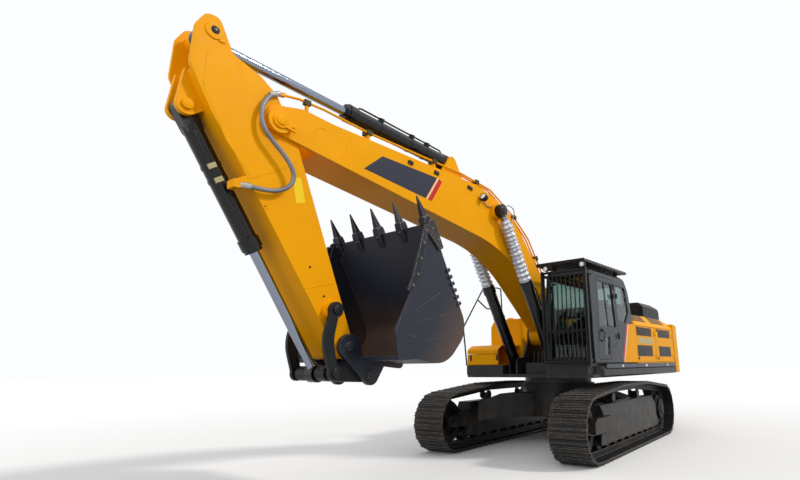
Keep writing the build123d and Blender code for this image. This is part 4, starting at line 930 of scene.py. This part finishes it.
def cushion(name, rows, half, crown, channels):
    """A padded shape: rows of (x, z) round its side outline, pulled in towards its two ends across the seat."""
    shape = bmesh.new()
    cx = sum(x for x, _ in rows) / len(rows)
    cz = sum(z for _, z in rows) / len(rows)
    rings = []
    for share, wide in ((-1.0, 0.86), (-0.94, 0.97), (-0.62, 1.03), (-0.56, 0.985), (-0.5, 1.0), (0.0, crown),
                        (0.5, 1.0), (0.56, 0.985), (0.62, 1.03), (0.94, 0.97), (1.0, 0.86)):
        if any(abs(share - c) < 0.01 for c in channels):
            wide *= 0.985       # sunk along a seam
        rings.append([shape.verts.new((slewing_axis + cx + (x - cx) * wide, seat_middle + half * share,
                                       cz + (z - cz) * wide)) for x, z in rows])
    join_rings(shape, rings)
    piece = settle(shape, name, "upper", "seat", bevel=0, sharp=180)
    soft = piece.modifiers.new("soft", "SUBSURF")
    soft.levels = soft.render_levels = 3


# %% Seat cushions and their base
cushion("seat_cushion", [(0.1, 1.975), (0.3, 1.965), (0.62, 1.968), (0.668, 1.99), (0.67, 2.06), (0.62, 2.082),
                         (0.4, 2.066), (0.2, 2.06), (0.11, 2.062)], 0.245, 1.01, (-0.56, 0.56))
cushion("seat_back", [(0.075, 2.085), (0.165, 2.095), (0.175, 2.2), (0.12, 2.5), (0.06, 2.67), (0.02, 2.695),
                      (-0.045, 2.67), (-0.02, 2.5), (0.035, 2.25)], 0.235, 1.01, (-0.56, 0.56))
cushion("seat_headrest", [(0.03, 2.722), (0.036, 2.78), (0.008, 2.855), (-0.06, 2.852), (-0.074, 2.8),
                          (-0.045, 2.716)], 0.125, 1.0, ())
shape = bmesh.new()
base_low = Vector((slewing_axis + 0.15, seat_middle - 0.22, seat_low[2]))
add_block(shape, base_low, base_low + Vector((0.47, 0.44, 0.06)))
for step in range(5):
    inset = 0.02 if step % 2 else 0.0
    add_block(shape, base_low + Vector((0.03 + inset, 0.03 + inset, 0.06 + step * 0.05)),
              base_low + Vector((0.44 - inset, 0.41 - inset, 0.11 + step * 0.05)))
add_block(shape, base_low + Vector((0, 0, 0.31)), base_low + Vector((0.47, 0.44, 0.335)))
for y in (seat_middle - 0.05, seat_middle + 0.05):
    add_pipe(shape, [Vector((slewing_axis - 0.005, y, 2.66)), Vector((slewing_axis - 0.022, y, 2.74))], 0.008, 10)
seat_base = settle(shape, "seat_base", "upper", "plastic", bevel=0.004)
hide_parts("seat")
print("seat at", round(slewing_axis, 2), round(seat_middle, 2))

# %% [markdown]
# ## Cab and body panels
# The cab's door has a sliding pane in a dark frame, a handle and hinges. A red and a white line follow the front edge
# of the side panel. Everything here is named by its place on the panel, measured from the slewing axis, because that
# is how such a machine is drawn.

# %% Helpers for places on the cab and the panels
panel_face = 1.6102         # just proud of the side panels
cab_face = 1.61


def cab_point(x, z, out=0.0):
    """A point on the cab's left side, which leans in above the sill of its windows."""
    lean = 0.0 if z < 2.3 else (z - 2.3) * 0.06
    return Vector((x + slewing_axis, cab_face - lean + out, z))


def on_panel(x, z, side=1):
    return Vector((slewing_axis + x, side * panel_face, z))


def add_strip(shape, points, wide, thick, at):
    """A narrow strip that follows points on a panel."""
    for (xa, za), (xb, zb) in zip(points, points[1:]):
        run = Vector((xb - xa, zb - za)).normalized()
        nx, nz = -run.y * wide / 2, run.x * wide / 2
        add_plate(shape, [at(xa + nx, za + nz), at(xb + nx, zb + nz), at(xb - nx, zb - nz), at(xa - nx, za - nz)],
                  Vector((0, thick, 0)))


def panel_plate(name, body, look, plates, thick, bevel):
    """One piece made of upright rectangles on the side panels, each given as (side, left, right, bottom, top)."""
    shape = bmesh.new()
    for side, *edges in plates:
        add_plate(shape, [on_panel(x, z, side) for x, z in rectangle(*edges)], Vector((0, side * thick, 0)))
    settle(shape, name, body, look, bevel=bevel)


print("panels at", panel_face, "m from the middle")

# %% Cab details
shape = bmesh.new()
add_strip(shape, [(0.545, 2.24), (0.545, 3.06), (0.86, 3.06), (0.86, 2.24), (0.545, 2.24)], 0.028, 0.004,
          lambda x, z: cab_point(x, z, -0.018))
add_strip(shape, [(0.875, 2.24), (0.875, 3.06)], 0.03, 0.006, lambda x, z: cab_point(x, z, -0.016))
settle(shape, "cab_slider_frame", "cab_door", "guard", bevel=0.001)
shape = bmesh.new()
add_pipe(shape, smooth_line([cab_point(x, z, out) for x, z, out in
                             ((1.235, 1.96, 0.004), (1.235, 1.97, 0.045), (1.225, 2.05, 0.052),
                              (1.21, 2.14, 0.045), (1.208, 2.15, 0.004))], "handle"), 0.01, 10)
for x, z in ((1.235, 1.955), (1.208, 2.155)):
    add_turned(shape, cab_point(x, z, -0.001), (0, 1, 0), [(0, 0.02), (0.006, 0.02), (0.008, 0.014)], 16)
settle(shape, "cab_door_handle", "cab_door", "guard", bevel=0)
shape = bmesh.new()
for z in (2.08, 3.02):
    add_turned(shape, cab_point(0.452, z, 0.004) - Vector((0, 0, 0.06)), (0, 0, 1),
               [(0, 0.01), (0.004, 0.013), (0.116, 0.013), (0.12, 0.01)], 14)
settle(shape, "cab_hinge_covers", "upper", "guard", bevel=0)
for look, top, foot, wide in (("red", -0.02, 0.292, 0.06), ("white", -0.075, 0.237, 0.036)):
    shape = bmesh.new()
    add_strip(shape, [(top, 2.31), (foot, 1.6)], wide, 0.0012, on_panel)
    settle(shape, "side_" + look + "_line", "upper", look, bevel=0)
print("cab dressed")

# %% [markdown]
# ## Vents, sill and latches
# The doors of the engine room breathe through barred vents, and the body's sloping shoulder carries black grilles.
# Rims and bars are thin plates laid on the doors, so that the doors themselves stay as they are. A slate band runs
# along the sill, a painted highlight for the lit slanted top, and a plain pale plate stands on the front door.

# %% Screens over the vents, and bands of painted highlight along the sill
def screen_plates(side, rear, front, low, high, rim=0.014, pitch=0.016, half_bar=0.0055):
    """A dark rim round an opening, with close bars across it."""
    plates = [(side, rear, front, low, low + rim), (side, rear, front, high - rim, high),
              (side, rear, rear + rim, low, high), (side, front - rim, front, low, high)]
    bars = int((high - low) / pitch)
    for k in range(bars):
        z = low + rim + (high - low - 2 * rim) * (k + 0.5) / bars
        plates.append((side, rear, front, z - half_bar, z + half_bar))
    return plates


for body, side, rear, front in (("left_front_door", 1, -1.41, -0.52), ("left_rear_door", 1, -2.69, -1.87),
                                ("right_service_door", -1, -2.69, -1.72)):
    panel_plate(body + "_screens", body, "guard", screen_plates(side, rear, front, 1.7, 1.925)
                + screen_plates(side, rear, front, 2.125, 2.3), 0.003, 0)
# the slate bands are a painted highlight for the light on the sill's slanted top
panel_plate("sill_painted_highlight_bands", "upper", "sill", [(side, -2.95, 1.1, 1.478, 1.556) for side in (1, -1)], 0.0015, 0.0005)
panel_plate("sill_reflectors", "upper", "white", [(1, x, x + 0.09, 1.495, 1.535) for x in (0.3, -1.0, -2.4)],
            0.0045, 0.0005)
panel_plate("side_blank_plate", "left_front_door", "cream", [(1, -1.46, -0.62, 1.965, 2.085)], 0.0015, 0.0005)
print("vents, sill and plate laid")

# %% Grilles on the shoulders, and latches
shoulder_foot, shoulder_rise = 2.35, (2.59 - 2.35) / 0.21
shape = bmesh.new()
for rear, front in ((-1.32, -0.62), (-2.56, -1.68)):
    for side in (1, -1):
        for k in range(4):
            low = 0.075 + k * 0.036
            corners = [Vector((slewing_axis + x, side * (cab_face - inward + 0.0035),
                               shoulder_foot + inward * shoulder_rise + 0.003))
                       for x, inward in rectangle(rear, front, low, low + 0.02)]
            add_plate(shape, corners, Vector((0, side * 0.004, 0.0035)))
settle(shape, "shoulder_grilles", "upper", "guard", bevel=0.001)
for name, body, side, x in (("left_front", "left_front_door", 1, -0.56), ("left_rear", "left_rear_door", 1, -1.79),
                            ("right", "right_service_door", -1, -1.6)):
    shape = bmesh.new()
    for z in (1.66, 2.28):
        add_turned(shape, Vector((slewing_axis + x, side * 1.6095, z)), (0, side, 0),
                   [(0, 0.034), (0.005, 0.034), (0.008, 0.028), (0.008, 0.018), (0.012, 0.016)], 24)
    settle(shape, name + "_latches", body, "guard", bevel=0.0005)
shape = bmesh.new()
for y in (-1.406, -0.725):
    add_block(shape, (slewing_axis + 1.2255, y - 0.02, 1.66), (slewing_axis + 1.238, y + 0.02, 1.776))
settle(shape, "tool_box_latches", "upper", "guard", bevel=0.003)
print("panels dressed")
